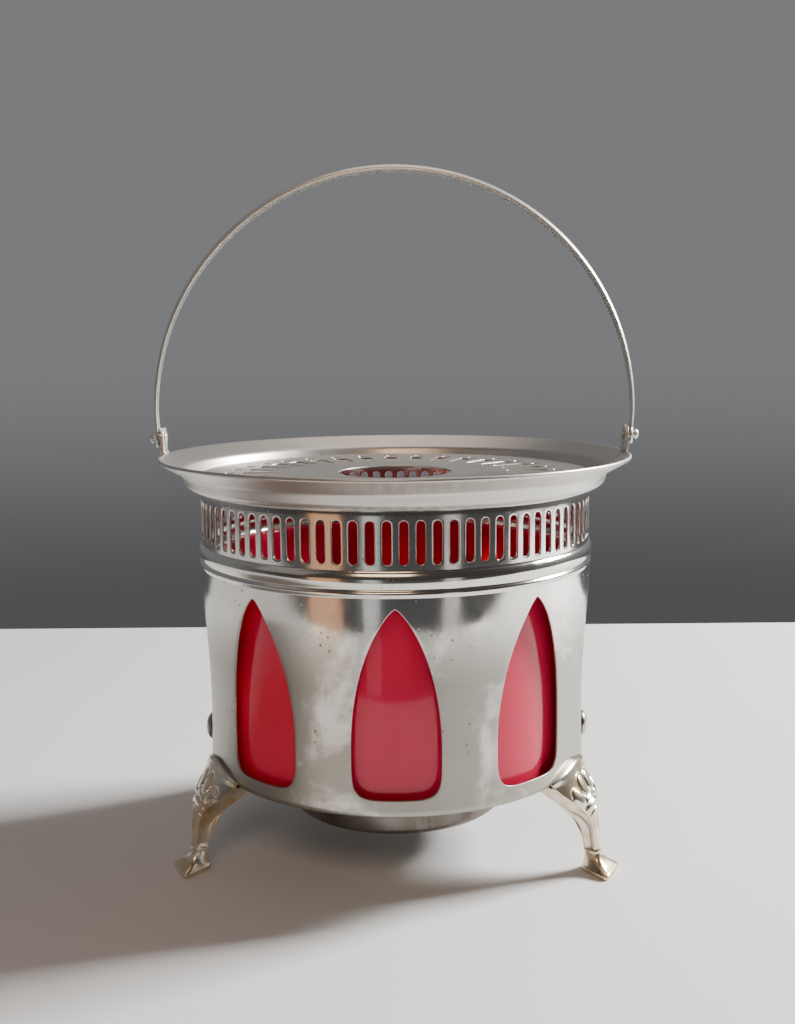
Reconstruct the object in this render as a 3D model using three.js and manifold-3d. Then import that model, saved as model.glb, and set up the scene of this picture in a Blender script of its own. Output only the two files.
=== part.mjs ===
// Teapot warmer: a pierced metal drum on three cast legs, with a flared rim, a
// lift-out pierced plate, a swinging bail, a red glass liner and a tea light.
// Millimetres. +Z is up, -Y is the front, the floor is z = 0.
// An azimuth of 0 is the front, and it grows towards +X.
import * as THREE from 'three';
import { mergeVertices } from 'three/addons/utils/BufferGeometryUtils.js';
import Module from 'manifold-3d';

const wasm = await Module();
wasm.setup();

// Fits and sheet
const SHEET = 0.7;
const SEAT_GAP = 0.3;
const SNUG_GAP = 0.25;
const RUN_GAP = 0.08;
const SMALL_ROUND = 0.3;
const CUT_PAST = 1;
const FAR = 400;

// Outer radii, from the rim inwards: each is the one before it less its own step
const RIM_R = 75;
const FLARE_RUN = 7.3;
const WALL_LEAN = 0.9;
const LEDGE_BEND = 1.5;
const LEDGE_RUN = 3.2;
const BODY_SWELL = 0.35;
const WAIST_DEPTH = 1.75;
const FOOT_SWELL = 0.45;
const FOOT_TURN_IN = 0.25;
const FLARE_FOOT_R = RIM_R - FLARE_RUN;
const COLLAR_WALL_R = FLARE_FOOT_R - WALL_LEAN;
const LEDGE_R = COLLAR_WALL_R - LEDGE_BEND;
const DRUM_TOP_R = LEDGE_R - LEDGE_RUN;
const BODY_TOP_R = DRUM_TOP_R + BODY_SWELL;
const WAIST_R = BODY_TOP_R - WAIST_DEPTH;
const BODY_FOOT_R = WAIST_R + FOOT_SWELL;
const DRUM_FOOT_R = BODY_FOOT_R - FOOT_TURN_IN;

// Heights: the drum stands on its legs and the rim on the drum
const DRUM_FOOT_Z = 29.7;
const DRUM_HEIGHT = 88.4;
const RIM_RISE = 8.9;
const DRUM_TOP_Z = DRUM_FOOT_Z + DRUM_HEIGHT;
const RIM_Z = DRUM_TOP_Z + RIM_RISE;

// Rim collar: flare, short wall and the ledge that the top plate rests on
const FLARE_HEIGHT = 4.5;
const COLLAR_WALL_HEIGHT = 3.0;
const LEDGE_DROP = 1.1;
const LAP_LENGTH = 1.4;
const RIM_SHEET = 0.8;
const RIM_ROLL = 0.65;
const COLLAR_BEND = 0.3;
const FLARE_FOOT_Z = RIM_Z - FLARE_HEIGHT;
const COLLAR_WALL_Z = FLARE_FOOT_Z - COLLAR_WALL_HEIGHT;
const LEDGE_Z = COLLAR_WALL_Z - LEDGE_DROP;
const COLLAR_LAP_Z = LEDGE_Z - LAP_LENGTH;
const COLLAR_SEGMENTS = 56;

// Drum shell, its beads measured down from its top
const DRUM_SEGMENTS = 56;
const MAIN_BEAD_DOWN = 17.5;
const MAIN_BEAD_WIDTH = 5.1;
const MAIN_BEAD_RISE = 1.0;
const BEAD_SPACE = 0.2;
const SMALL_BEAD_WIDTH = 1.8;
const SMALL_BEAD_RISE = 0.5;
const SMALL_BEAD_SEAT = 0.15;
const BODY_TOP_DOWN = 33.1;
const WAIST_TOP_UP = 22.3;
const WAIST_FOOT_UP = 13.3;
const BODY_FOOT_UP = 1.3;
const FOOT_EDGE = 0.7;
const FLANGE_WIDTH = 12.4;
const MAIN_BEAD_TOP_Z = DRUM_TOP_Z - MAIN_BEAD_DOWN;
const MAIN_BEAD_FOOT_Z = MAIN_BEAD_TOP_Z - MAIN_BEAD_WIDTH;
const SMALL_BEAD_TOP_Z = MAIN_BEAD_FOOT_Z - BEAD_SPACE;
const SMALL_BEAD_FOOT_Z = SMALL_BEAD_TOP_Z - SMALL_BEAD_WIDTH;
const BODY_TOP_Z = DRUM_TOP_Z - BODY_TOP_DOWN;
const WAIST_TOP_Z = DRUM_FOOT_Z + WAIST_TOP_UP;
const WAIST_FOOT_Z = DRUM_FOOT_Z + WAIST_FOOT_UP;
const BODY_FOOT_Z = DRUM_FOOT_Z + BODY_FOOT_UP;
const FLANGE_INNER_R = DRUM_FOOT_R - FLANGE_WIDTH;

// Gallery of upright slots
const SLOT_COUNT = 84;
const SLOT_TURN = 0.2;
const SLOT_WIDTH = 2.55;
const SLOT_DOWN = 3.5;
const SLOT_LENGTH = 12.3;
const SLOT_TOP_Z = DRUM_TOP_Z - SLOT_DOWN;
const SLOT_FOOT_Z = SLOT_TOP_Z - SLOT_LENGTH;
const SLOT_END_STEPS = 3;

// Pointed windows
const WINDOW_AZIMUTHS = [0, 40.7, 139.3, 180, 220.7, 319.3];
const WINDOW_HALF = 12.8;
const WINDOW_TIP_DOWN = 27.9;
const WINDOW_SILL_UP = 5.1;
const WINDOW_CORNER_HEIGHT = 14.2;
const WINDOW_TIP_Z = DRUM_TOP_Z - WINDOW_TIP_DOWN;
const WINDOW_SILL_Z = DRUM_FOOT_Z + WINDOW_SILL_UP;
const WINDOW_WIDEST_Z = WINDOW_SILL_Z + WINDOW_CORNER_HEIGHT;
const WINDOW_ARCH_POWER = 0.765;
const WINDOW_CORNER_POWER = 5;
const WINDOW_ARCH_STEPS = 8;
const WINDOW_CORNER_STEPS = 4;

// Pierced top plate, lying loose inside the collar
const PLATE_SEGMENTS = 48;
const PLATE_PLAY = 1.7;
const PLATE_LIFT = 0.7;
const PLATE_HEIGHT = 2.2;
const PLATE_SHEET = 0.6;
const PLATE_EDGE_ROUND = 0.5;
const PLATE_HOLE_R = 18.2;
const PLATE_LIP_ROUND = 0.25;
const PLATE_RAYS = 32;
const PLATE_TURN = 1.6;
const DOT_R = 1.7;
const DOT_INSET = 11.1;
const RAY_INSET = 3.7;
const RAY_LENGTH = 13;
const RAY_INNER_WIDTH = 1.2;
const RAY_OUTER_WIDTH = 4.8;
const PLATE_R = COLLAR_WALL_R - RIM_SHEET - PLATE_PLAY;
const PLATE_SKIRT_FOOT_Z = LEDGE_Z + PLATE_LIFT;
const PLATE_TOP_Z = PLATE_SKIRT_FOOT_Z + PLATE_HEIGHT;
const DOT_CIRCLE_R = PLATE_R - DOT_INSET;
const RAY_OUTER_R = DOT_CIRCLE_R - RAY_INSET;
const RAY_INNER_R = RAY_OUTER_R - RAY_LENGTH;

// Glass liner
const GLASS_SEGMENTS = 48;
const GLASS_PLAY = 2.2;
const GLASS_WALL = 2.5;
const GLASS_TOP_DOWN = 21.4;
const GLASS_R = WAIST_R - SHEET - GLASS_PLAY;
const GLASS_TOP_Z = DRUM_TOP_Z - GLASS_TOP_DOWN;

// Tea light
const CANDLE_R = 19;
const CANDLE_HEIGHT = 16;
const CANDLE_SHEET = 0.5;
const CANDLE_CORNER = 1;
const WAX_DEPTH = 12;
const WAX_DISH = 0.6;
const WAX_CORNER = 0.8;
const WICK_R = 0.9;
const WICK_RISE = 7;
const SUSTAINER_R = 6.5;
const SUSTAINER_POCKET = 1.4;
const SUSTAINER_SHEET = 0.4;

// Bottom pan with a round well and two upright ears
const PAN_SEGMENTS = 40;
const PAN_PLAY = 0.2;
const PAN_LEDGE = 24.5;
const WELL_HANG = 16.8;
const WELL_CORNER = 2.0;
const WELL_RING_RISE = 1.4;
const WELL_RING_HALF = 1.1;
const WELL_RING_PLAY = 1.6;
const EAR_INSET = 0.1;
const EAR_HALF = 5.0;
const EAR_UP = 11.3;
const PAN_R = WAIST_R - SHEET - PAN_PLAY;
const WELL_R = PAN_R - PAN_LEDGE;
const WELL_RING_R = CANDLE_R + WELL_RING_PLAY;
const WELL_FOOT_Z = DRUM_FOOT_Z - WELL_HANG;
const EAR_R = PAN_R - EAR_INSET;
const EAR_TOP_Z = DRUM_FOOT_Z + EAR_UP;

// Domed rivets at the two sides
const SIDE_RIVET_UP = 6.8;
const SIDE_DOME_R = 4.3;
const SIDE_DOME_RISE = 2.1;
const SIDE_SHANK_R = 1.2;
const SIDE_TAIL_R = 2.2;
const SIDE_TAIL_RISE = 0.4;
const SIDE_RIVET_Z = DRUM_FOOT_Z + SIDE_RIVET_UP;

// Cast legs. The stations below are drawn on a leg 357 units high
const LEG_AZIMUTHS = [62, 180, -65];
const LEG_NAMES = ['leg_right', 'leg_back', 'leg_left'];
const LEG_CLEARANCE = 0.4;
const LEG_FAN_RISE = 6.0;
const LEG_FAN_DROP = 3.7;
const LEG_WALL = 1.9;
const LEG_TONGUE_THICK = 1.5;
const LEG_TONGUE_INSET = 0.5;
const LEG_TONGUE_HALF = 4.2;
const LEG_RIVET_INSET = 3.5;
const LEG_SHANK_R = 1.5;
const LEG_HEAD_R = 2.6;
const LEG_HEAD_RISE = 1.1;
const LEG_BACK_R = BODY_FOOT_R + LEG_CLEARANCE;
const LEG_FAN_TOP_Z = DRUM_FOOT_Z + LEG_FAN_RISE;
const LEG_SEAT_Z = DRUM_FOOT_Z - SEAT_GAP;
const LEG_POCKET_TOP_Z = LEG_SEAT_Z - LEG_TONGUE_THICK;
const LEG_TONGUE_R = FLANGE_INNER_R + LEG_TONGUE_INSET;
const LEG_RIVET_R = FLANGE_INNER_R + LEG_RIVET_INSET;
const LEG_UNIT_COUNT = 357;
const LEG_UNIT = LEG_FAN_TOP_Z / LEG_UNIT_COUNT;

// Bail, its two lugs and its pivot rivets
const PIVOT_UP = 5.8;
const ARC_UP = 7.5;
const LUG_INSET = 1.3;
const LUG_THICK = 1.2;
const LUG_HALF = 3.3;
const LUG_FOOT_RUN = 1.4;
const LUG_FOOT_THICK = 1.1;
const EYE_GAP = 0.7;
const EYE_R = 3.0;
const BAIL_SWELL = 0.3;
const BAIL_APEX_WIDTH = 6.5;
const BAIL_END_WIDTH = 4.0;
const BAIL_APEX_THICK = 2.1;
const BAIL_END_THICK = 1.2;
const BAIL_STEPS = 30;
const PIVOT_SHANK_R = 1.1;
const PIVOT_HEAD_R = 1.7;
const PIVOT_HEAD_RISE = 1.6;
const PIVOT_TAIL_RISE = 0.4;
const PIVOT_Z = RIM_Z + PIVOT_UP;
const BAIL_ARC_Z = PIVOT_Z + ARC_UP;
const LUG_X = RIM_R - LUG_INSET;
const LUG_FOOT_INNER_X = LUG_X - LUG_FOOT_RUN;
const EYE_X = LUG_X + LUG_THICK + EYE_GAP;
const BAIL_OUTER_R = EYE_X + BAIL_END_THICK + BAIL_SWELL;

// Numbers used in more than one place
const TURN = Math.PI * 2;
const FLANGE_TOP_Z = DRUM_FOOT_Z + SHEET;
const PAN_FLOOR_Z = FLANGE_TOP_Z + SEAT_GAP + SHEET;
const GLASS_FOOT_Z = PAN_FLOOR_Z + SEAT_GAP;
const WELL_FLOOR_Z = WELL_FOOT_Z + SHEET;
const CANDLE_Z = WELL_FLOOR_Z + SEAT_GAP;
const SLOT_PITCH = 360 / SLOT_COUNT;
const UP = new THREE.Vector3(0, 0, 1);

const radians = THREE.MathUtils.degToRad;

// Solids

function solidOf(geometry) {
  const bare = geometry.clone();
  bare.deleteAttribute('normal');
  bare.deleteAttribute('uv');
  const merged = mergeVertices(bare, 1e-5);
  const positions = merged.attributes.position.array;
  const source = merged.index.array;
  const kept = [];
  let volume = 0;
  const a = new THREE.Vector3();
  const b = new THREE.Vector3();
  const c = new THREE.Vector3();
  for (let i = 0; i < source.length; i += 3) {
    const [p, q, r] = [source[i], source[i + 1], source[i + 2]];
    if (p === q || q === r || r === p) {
      continue;
    }
    kept.push(p, q, r);
    a.fromArray(positions, p * 3);
    b.fromArray(positions, q * 3);
    c.fromArray(positions, r * 3);
    volume += a.dot(b.cross(c));
  }
  if (volume < 0) {
    for (let i = 0; i < kept.length; i += 3) {
      const swap = kept[i + 1];
      kept[i + 1] = kept[i + 2];
      kept[i + 2] = swap;
    }
  }
  const mesh = new wasm.Mesh({
    numProp: 3,
    vertProperties: Float32Array.from(positions),
    triVerts: Uint32Array.from(kept),
  });
  return new wasm.Manifold(mesh);
}

function geometryOf(solid) {
  const mesh = solid.getMesh();
  const geometry = new THREE.BufferGeometry();
  geometry.setAttribute('position', new THREE.BufferAttribute(mesh.vertProperties, 3));
  geometry.setIndex(new THREE.BufferAttribute(mesh.triVerts, 1));
  geometry.computeVertexNormals();
  return geometry;
}

function union(geometries) {
  return geometries.map(solidOf).reduce((whole, next) => whole.add(next));
}

// A closed [radius, z] outline turned about the Z axis, first column at an azimuth.
function revolve(outline, segments, azimuth = 0) {
  const points = outline.map(([r, z]) => new THREE.Vector2(r, z));
  const onAxis = outline[0][0] === 0 && outline[outline.length - 1][0] === 0;
  if (!onAxis) {
    points.push(points[0].clone());
  }
  const geometry = new THREE.LatheGeometry(points, segments, radians(azimuth), TURN);
  return geometry.rotateX(Math.PI / 2);
}

function prism(points, depth) {
  const shape = new THREE.Shape(points.map(([x, y]) => new THREE.Vector2(x, y)));
  return new THREE.ExtrudeGeometry(shape, { depth, bevelEnabled: false, steps: 1 });
}

// Turns local X, Y, Z into the tangent, up and outward directions at an azimuth.
function radialFrame(azimuth, radius = 0, height = 0) {
  const turn = radians(azimuth);
  const outward = new THREE.Vector3(Math.sin(turn), -Math.cos(turn), 0);
  const tangent = new THREE.Vector3(Math.cos(turn), Math.sin(turn), 0);
  const frame = new THREE.Matrix4().makeBasis(tangent, UP, outward);
  return frame.setPosition(outward.x * radius, outward.y * radius, height);
}

// A sheet body between two matching point grids, closed along all four edges.
function thickSheet(front, back) {
  const rows = front.length;
  const columns = front[0].length;
  const positions = [];
  const indices = [];
  for (const grid of [front, back]) {
    for (const row of grid) {
      for (const point of row) {
        positions.push(point[0], point[1], point[2]);
      }
    }
  }
  const shift = rows * columns;
  const at = (side, i, j) => side * shift + i * columns + j;
  const quad = (a, b, c, d) => indices.push(a, b, c, a, c, d);
  for (let i = 0; i + 1 < rows; i += 1) {
    for (let j = 0; j + 1 < columns; j += 1) {
      quad(at(0, i, j), at(0, i + 1, j), at(0, i + 1, j + 1), at(0, i, j + 1));
      quad(at(1, i, j), at(1, i, j + 1), at(1, i + 1, j + 1), at(1, i + 1, j));
    }
    quad(at(0, i, 0), at(1, i, 0), at(1, i + 1, 0), at(0, i + 1, 0));
    const last = columns - 1;
    quad(at(0, i, last), at(0, i + 1, last), at(1, i + 1, last), at(1, i, last));
  }
  for (let j = 0; j + 1 < columns; j += 1) {
    quad(at(0, 0, j), at(0, 0, j + 1), at(1, 0, j + 1), at(1, 0, j));
    const last = rows - 1;
    quad(at(0, last, j), at(1, last, j), at(1, last, j + 1), at(0, last, j + 1));
  }
  const geometry = new THREE.BufferGeometry();
  geometry.setAttribute('position', new THREE.Float32BufferAttribute(positions, 3));
  geometry.setIndex(indices);
  return geometry;
}

// A body through a stack of closed rings, with a fan over each end.
function stack(rings) {
  const count = rings[0].length;
  const positions = [];
  const indices = [];
  for (const ring of rings) {
    for (const point of ring) {
      positions.push(point[0], point[1], point[2]);
    }
  }
  for (let i = 0; i + 1 < rings.length; i += 1) {
    for (let j = 0; j < count; j += 1) {
      const k = (j + 1) % count;
      const low = i * count;
      const high = low + count;
      indices.push(low + j, low + k, high + k, low + j, high + k, high + j);
    }
  }
  const ends = [[rings[0], 0, true], [rings[rings.length - 1], (rings.length - 1) * count, false]];
  for (const [ring, start, flip] of ends) {
    const hub = positions.length / 3;
    for (const axis of [0, 1, 2]) {
      positions.push(ring.reduce((sum, point) => sum + point[axis], 0) / count);
    }
    for (let j = 0; j < count; j += 1) {
      const k = (j + 1) % count;
      indices.push(hub, start + (flip ? k : j), start + (flip ? j : k));
    }
  }
  const geometry = new THREE.BufferGeometry();
  geometry.setAttribute('position', new THREE.Float32BufferAttribute(positions, 3));
  geometry.setIndex(indices);
  return geometry;
}

// A rivet along +Z: a round head above z = 0, a shank below it and a tail head.
function rivet(size) {
  const { headR, headRise, shankR, grip, tailR, tailRise, segments = 12 } = size;
  const foot = -grip;
  return revolve([
    [0, foot - tailRise],
    [tailR * 0.7, foot - tailRise * 0.8],
    [tailR, foot],
    [shankR, foot],
    [shankR, 0],
    [headR, 0],
    [headR * 0.86, headRise * 0.55],
    [headR * 0.5, headRise * 0.88],
    [0, headRise],
  ], segments);
}

function cylinder(radius, low, high, segments) {
  return revolve([[0, low], [radius, low], [radius, high], [0, high]], segments);
}

// Value at x on the broken line through [x, value] stations, eased to a smooth curve.
function along(stations, x) {
  const points = stations.map(([at, value]) => new THREE.Vector2(at, value));
  let low = 0;
  while (low + 2 < points.length && x > points[low + 1].x) {
    low += 1;
  }
  const slope = (i) => {
    const before = points[Math.max(i - 1, 0)];
    const after = points[Math.min(i + 1, points.length - 1)];
    return (after.y - before.y) / (after.x - before.x);
  };
  const [a, b] = [points[low], points[low + 1]];
  const span = b.x - a.x;
  const t = THREE.MathUtils.clamp((x - a.x) / span, 0, 1);
  const ease = t * t * (3 - 2 * t);
  const bend = t * (1 - t);
  return a.y + (b.y - a.y) * ease + span * bend * ((1 - t) * slope(low) - t * slope(low + 1));
}

// Rim collar

function collarOutline() {
  const flareRun = RIM_R - RIM_ROLL - FLARE_FOOT_R;
  const flareRise = RIM_Z - RIM_ROLL - FLARE_FOOT_Z;
  const length = Math.hypot(flareRun, flareRise);
  const inward = [(-RIM_SHEET * flareRise) / length, (RIM_SHEET * flareRun) / length];
  const innerLap = DRUM_TOP_R + SEAT_GAP;
  const rollR = RIM_R - RIM_ROLL;
  const rollZ = RIM_Z - RIM_ROLL * 0.2;
  const outline = [
    [innerLap, COLLAR_LAP_Z],
    [innerLap + SMALL_ROUND, COLLAR_LAP_Z + SMALL_ROUND],
    [LEDGE_R, LEDGE_Z],
    [COLLAR_WALL_R - LEDGE_BEND * 0.47, COLLAR_WALL_Z - LEDGE_DROP * 0.59],
    [COLLAR_WALL_R, COLLAR_WALL_Z],
    [FLARE_FOOT_R + COLLAR_BEND, FLARE_FOOT_Z + COLLAR_BEND],
  ];
  for (let i = 0; i <= 3; i += 1) {
    const turn = radians(-50 + 50 * i);
    outline.push([rollR + RIM_ROLL * Math.cos(turn), rollZ + RIM_ROLL * Math.sin(turn)]);
  }
  outline.push(
    [FLARE_FOOT_R + inward[0] + SMALL_ROUND, FLARE_FOOT_Z + inward[1] + SMALL_ROUND],
    [COLLAR_WALL_R - RIM_SHEET, COLLAR_WALL_Z + RIM_SHEET * 0.25],
    [LEDGE_R - RIM_SHEET * 1.1, LEDGE_Z + RIM_SHEET * 0.7],
    [innerLap, COLLAR_LAP_Z + LAP_LENGTH * 0.7],
  );
  return outline;
}

function buildCollar() {
  return solidOf(revolve(collarOutline(), COLLAR_SEGMENTS));
}

// Drum shell

function bodyRadius(z) {
  if (z >= BODY_TOP_Z) {
    return BODY_TOP_R;
  }
  if (z >= WAIST_TOP_Z) {
    const down = (BODY_TOP_Z - z) / (BODY_TOP_Z - WAIST_TOP_Z);
    return WAIST_R + (BODY_TOP_R - WAIST_R) * (1 - down) ** 1.5;
  }
  if (z >= WAIST_FOOT_Z) {
    return WAIST_R;
  }
  const low = Math.min((WAIST_FOOT_Z - z) / (WAIST_FOOT_Z - BODY_FOOT_Z), 1);
  return WAIST_R + (BODY_FOOT_R - WAIST_R) * low * low;
}

function beadOutline(topZ, footZ, radius, rise, steps) {
  const points = [];
  for (let i = 0; i <= steps; i += 1) {
    const part = i / steps;
    points.push([radius + rise * Math.sin(Math.PI * part) ** 0.8, topZ + (footZ - topZ) * part]);
  }
  return points;
}

function drumOutline() {
  const beadBase = DRUM_TOP_R + SMALL_BEAD_SEAT;
  const outer = [[DRUM_TOP_R, DRUM_TOP_Z]];
  outer.push(...beadOutline(MAIN_BEAD_TOP_Z, MAIN_BEAD_FOOT_Z, DRUM_TOP_R, MAIN_BEAD_RISE, 4));
  outer.push(...beadOutline(SMALL_BEAD_TOP_Z, SMALL_BEAD_FOOT_Z, beadBase, SMALL_BEAD_RISE, 2));
  const taper = [1, 2 / 3, 1 / 3, 0].map((part) => WAIST_TOP_Z + (BODY_TOP_Z - WAIST_TOP_Z) * part);
  for (const z of [...taper, WAIST_FOOT_Z, BODY_FOOT_Z]) {
    outer.push([bodyRadius(z), z]);
  }
  outer.push([DRUM_FOOT_R, DRUM_FOOT_Z + FOOT_EDGE * 0.6], [DRUM_FOOT_R - FOOT_EDGE, DRUM_FOOT_Z]);
  const inner = [
    [FLANGE_INNER_R, DRUM_FOOT_Z],
    [FLANGE_INNER_R, FLANGE_TOP_Z],
    [DRUM_FOOT_R - SHEET - FOOT_EDGE * 0.7, FLANGE_TOP_Z],
  ];
  for (const z of [BODY_FOOT_Z, WAIST_FOOT_Z, WAIST_TOP_Z, BODY_TOP_Z]) {
    inner.push([bodyRadius(z) - SHEET, z + SMALL_ROUND]);
  }
  const beadMid = (MAIN_BEAD_TOP_Z + MAIN_BEAD_FOOT_Z) / 2;
  inner.push(
    [BODY_TOP_R - SHEET, SMALL_BEAD_FOOT_Z],
    [DRUM_TOP_R - SHEET + MAIN_BEAD_RISE * 0.8, beadMid],
    [DRUM_TOP_R - SHEET, MAIN_BEAD_TOP_Z],
    [DRUM_TOP_R - SHEET, DRUM_TOP_Z],
  );
  return outer.concat(inner);
}

function slotShape() {
  const half = SLOT_WIDTH / 2;
  const points = [];
  for (const [centre, start] of [[SLOT_TOP_Z - half, 0], [SLOT_FOOT_Z + half, 180]]) {
    for (let i = 0; i <= SLOT_END_STEPS; i += 1) {
      const turn = radians(start + (180 * i) / SLOT_END_STEPS);
      points.push([half * Math.cos(turn), centre + half * Math.sin(turn)]);
    }
  }
  return points;
}

function windowShape() {
  const right = [];
  for (let i = 1; i < WINDOW_CORNER_STEPS; i += 1) {
    const turn = radians((90 * i) / WINDOW_CORNER_STEPS);
    const power = 2 / WINDOW_CORNER_POWER;
    const depth = WINDOW_WIDEST_Z - WINDOW_SILL_Z;
    const z = WINDOW_WIDEST_Z - depth * Math.cos(turn) ** power;
    right.push([WINDOW_HALF * Math.sin(turn) ** power, z]);
  }
  for (let i = 0; i < WINDOW_ARCH_STEPS; i += 1) {
    const part = Math.sin(radians((90 * i) / WINDOW_ARCH_STEPS));
    const half = WINDOW_HALF * (1 - part * part) ** WINDOW_ARCH_POWER;
    right.push([half, WINDOW_WIDEST_Z + (WINDOW_TIP_Z - WINDOW_WIDEST_Z) * part]);
  }
  const left = right.map(([x, z]) => [-x, z]).reverse();
  return [...right, [0, WINDOW_TIP_Z], ...left];
}

function buildDrum() {
  const shell = solidOf(revolve(drumOutline(), DRUM_SEGMENTS, SLOT_TURN));
  const cutStart = DRUM_FOOT_R - SHEET - FOOT_EDGE - CUT_PAST;
  const cutDepth = DRUM_TOP_R + MAIN_BEAD_RISE + CUT_PAST - cutStart;
  const chordDip = WINDOW_HALF ** 2 / cutStart;
  const cutters = [];
  for (let i = 0; i < SLOT_COUNT; i += 1) {
    const azimuth = SLOT_TURN + (i + 0.5) * SLOT_PITCH;
    cutters.push(prism(slotShape(), cutDepth).applyMatrix4(radialFrame(azimuth, cutStart)));
  }
  for (const azimuth of WINDOW_AZIMUTHS) {
    const frame = radialFrame(azimuth, cutStart - chordDip);
    cutters.push(prism(windowShape(), cutDepth + chordDip).applyMatrix4(frame));
  }
  for (const azimuth of [90, -90]) {
    const hole = cylinder(SIDE_SHANK_R + SEAT_GAP, cutStart, cutStart + cutDepth, 12);
    hole.rotateZ(Math.PI / 12);
    cutters.push(hole.applyMatrix4(radialFrame(azimuth, 0, SIDE_RIVET_Z)));
  }
  for (const azimuth of LEG_AZIMUTHS) {
    const [low, high] = [DRUM_FOOT_Z - CUT_PAST, FLANGE_TOP_Z + CUT_PAST];
    const hole = cylinder(LEG_SHANK_R + SEAT_GAP, low, high, 14);
    cutters.push(hole.translate(0, -LEG_RIVET_R, 0).rotateZ(radians(azimuth)));
  }
  return shell.subtract(union(cutters));
}

// Top plate

function rayShape() {
  const [a, b] = [RAY_INNER_WIDTH / 2, RAY_OUTER_WIDTH / 2];
  const round = b * 0.4;
  const slope = (b - a) / RAY_LENGTH;
  const points = [[-a, -RAY_INNER_R], [a, -RAY_INNER_R]];
  points.push([b - slope * round, -RAY_OUTER_R + round]);
  points.push([b * 0.65, -RAY_OUTER_R]);
  const left = points.slice(2).map(([x, y]) => [-x, y]).reverse();
  return points.concat(left).reverse();
}

function buildPlate() {
  const under = PLATE_TOP_Z - PLATE_SHEET;
  const [low, high] = [under - CUT_PAST, PLATE_TOP_Z + CUT_PAST];
  const outline = [
    [PLATE_HOLE_R, under],
    [PLATE_R - PLATE_SHEET, under],
    [PLATE_R - PLATE_SHEET, PLATE_SKIRT_FOOT_Z],
    [PLATE_R, PLATE_SKIRT_FOOT_Z],
    [PLATE_R, PLATE_TOP_Z - PLATE_EDGE_ROUND],
    [PLATE_R - PLATE_EDGE_ROUND * 0.3, PLATE_TOP_Z - PLATE_EDGE_ROUND * 0.3],
    [PLATE_R - PLATE_EDGE_ROUND, PLATE_TOP_Z],
    [PLATE_HOLE_R + PLATE_LIP_ROUND, PLATE_TOP_Z],
    [PLATE_HOLE_R, PLATE_TOP_Z - PLATE_LIP_ROUND],
  ];
  const disc = solidOf(revolve(outline, PLATE_SEGMENTS, PLATE_TURN));
  const cutters = [];
  for (let i = 0; i < PLATE_RAYS; i += 1) {
    const turn = radians(PLATE_TURN + (360 * i) / PLATE_RAYS);
    const ray = prism(rayShape(), high - low).translate(0, 0, low);
    const dot = cylinder(DOT_R, low, high, 8);
    cutters.push(ray.rotateZ(turn), dot.translate(0, -DOT_CIRCLE_R, 0).rotateZ(turn));
  }
  return disc.subtract(union(cutters));
}

// Glass liner

function buildGlass() {
  const inner = GLASS_R - GLASS_WALL;
  const round = GLASS_WALL / 2;
  const outline = [[inner, GLASS_FOOT_Z], [GLASS_R, GLASS_FOOT_Z]];
  for (let i = 0; i <= 3; i += 1) {
    const turn = radians(60 * i);
    const r = GLASS_R - round + round * Math.cos(turn);
    outline.push([r, GLASS_TOP_Z - round + round * Math.sin(turn)]);
  }
  return solidOf(revolve(outline, GLASS_SEGMENTS));
}

// Bottom pan

function buildPan() {
  const inWell = WELL_R - SHEET;
  const under = PAN_FLOOR_Z - SHEET;
  const ringUp = WELL_FLOOR_Z + WELL_RING_RISE;
  const tray = solidOf(revolve([
    [0, WELL_FOOT_Z],
    [WELL_R - WELL_CORNER, WELL_FOOT_Z],
    [WELL_R, WELL_FOOT_Z + WELL_CORNER],
    [WELL_R, under],
    [PAN_R, under],
    [PAN_R, PAN_FLOOR_Z],
    [inWell + SMALL_ROUND, PAN_FLOOR_Z],
    [inWell, PAN_FLOOR_Z - SMALL_ROUND],
    [inWell, WELL_FLOOR_Z + WELL_CORNER],
    [inWell - WELL_CORNER, WELL_FLOOR_Z],
    [WELL_RING_R + WELL_RING_HALF, WELL_FLOOR_Z],
    [WELL_RING_R + WELL_RING_HALF * 0.4, ringUp],
    [WELL_RING_R, ringUp],
    [WELL_RING_R - WELL_RING_HALF * 0.4, WELL_FLOOR_Z],
    [0, WELL_FLOOR_Z],
  ], PAN_SEGMENTS));
  const band = solidOf(revolve([
    [EAR_R - SHEET, under + SHEET * 0.15],
    [EAR_R, under + SHEET * 0.15],
    [EAR_R, EAR_TOP_Z],
    [EAR_R - SHEET, EAR_TOP_Z],
  ], DRUM_SEGMENTS));
  const side = new THREE.BoxGeometry(FAR, EAR_HALF * 2, FAR);
  const cutters = [];
  for (const azimuth of [90, -90]) {
    const [near, far] = [EAR_R - SHEET - CUT_PAST, EAR_R + CUT_PAST];
    const hole = cylinder(SIDE_SHANK_R + SEAT_GAP, near, far, 12);
    hole.rotateZ(Math.PI / 12);
    cutters.push(hole.applyMatrix4(radialFrame(azimuth, 0, SIDE_RIVET_Z)));
  }
  for (const azimuth of LEG_AZIMUTHS) {
    const [low, high] = [under - CUT_PAST, PAN_FLOOR_Z + CUT_PAST];
    const hole = cylinder(LEG_HEAD_R + SEAT_GAP, low, high, 16);
    cutters.push(hole.translate(0, -LEG_RIVET_R, 0).rotateZ(radians(azimuth)));
  }
  return tray.add(band.intersect(solidOf(side))).subtract(union(cutters));
}

function sideRivet(azimuth) {
  const base = BODY_FOOT_R + SNUG_GAP;
  const tail = EAR_R - SHEET - SNUG_GAP;
  const size = { headR: SIDE_DOME_R, headRise: SIDE_DOME_RISE, shankR: SIDE_SHANK_R, segments: 16 };
  const shape = rivet({ ...size, grip: base - tail, tailR: SIDE_TAIL_R, tailRise: SIDE_TAIL_RISE });
  return solidOf(shape.applyMatrix4(radialFrame(azimuth, base, SIDE_RIVET_Z)));
}

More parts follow.
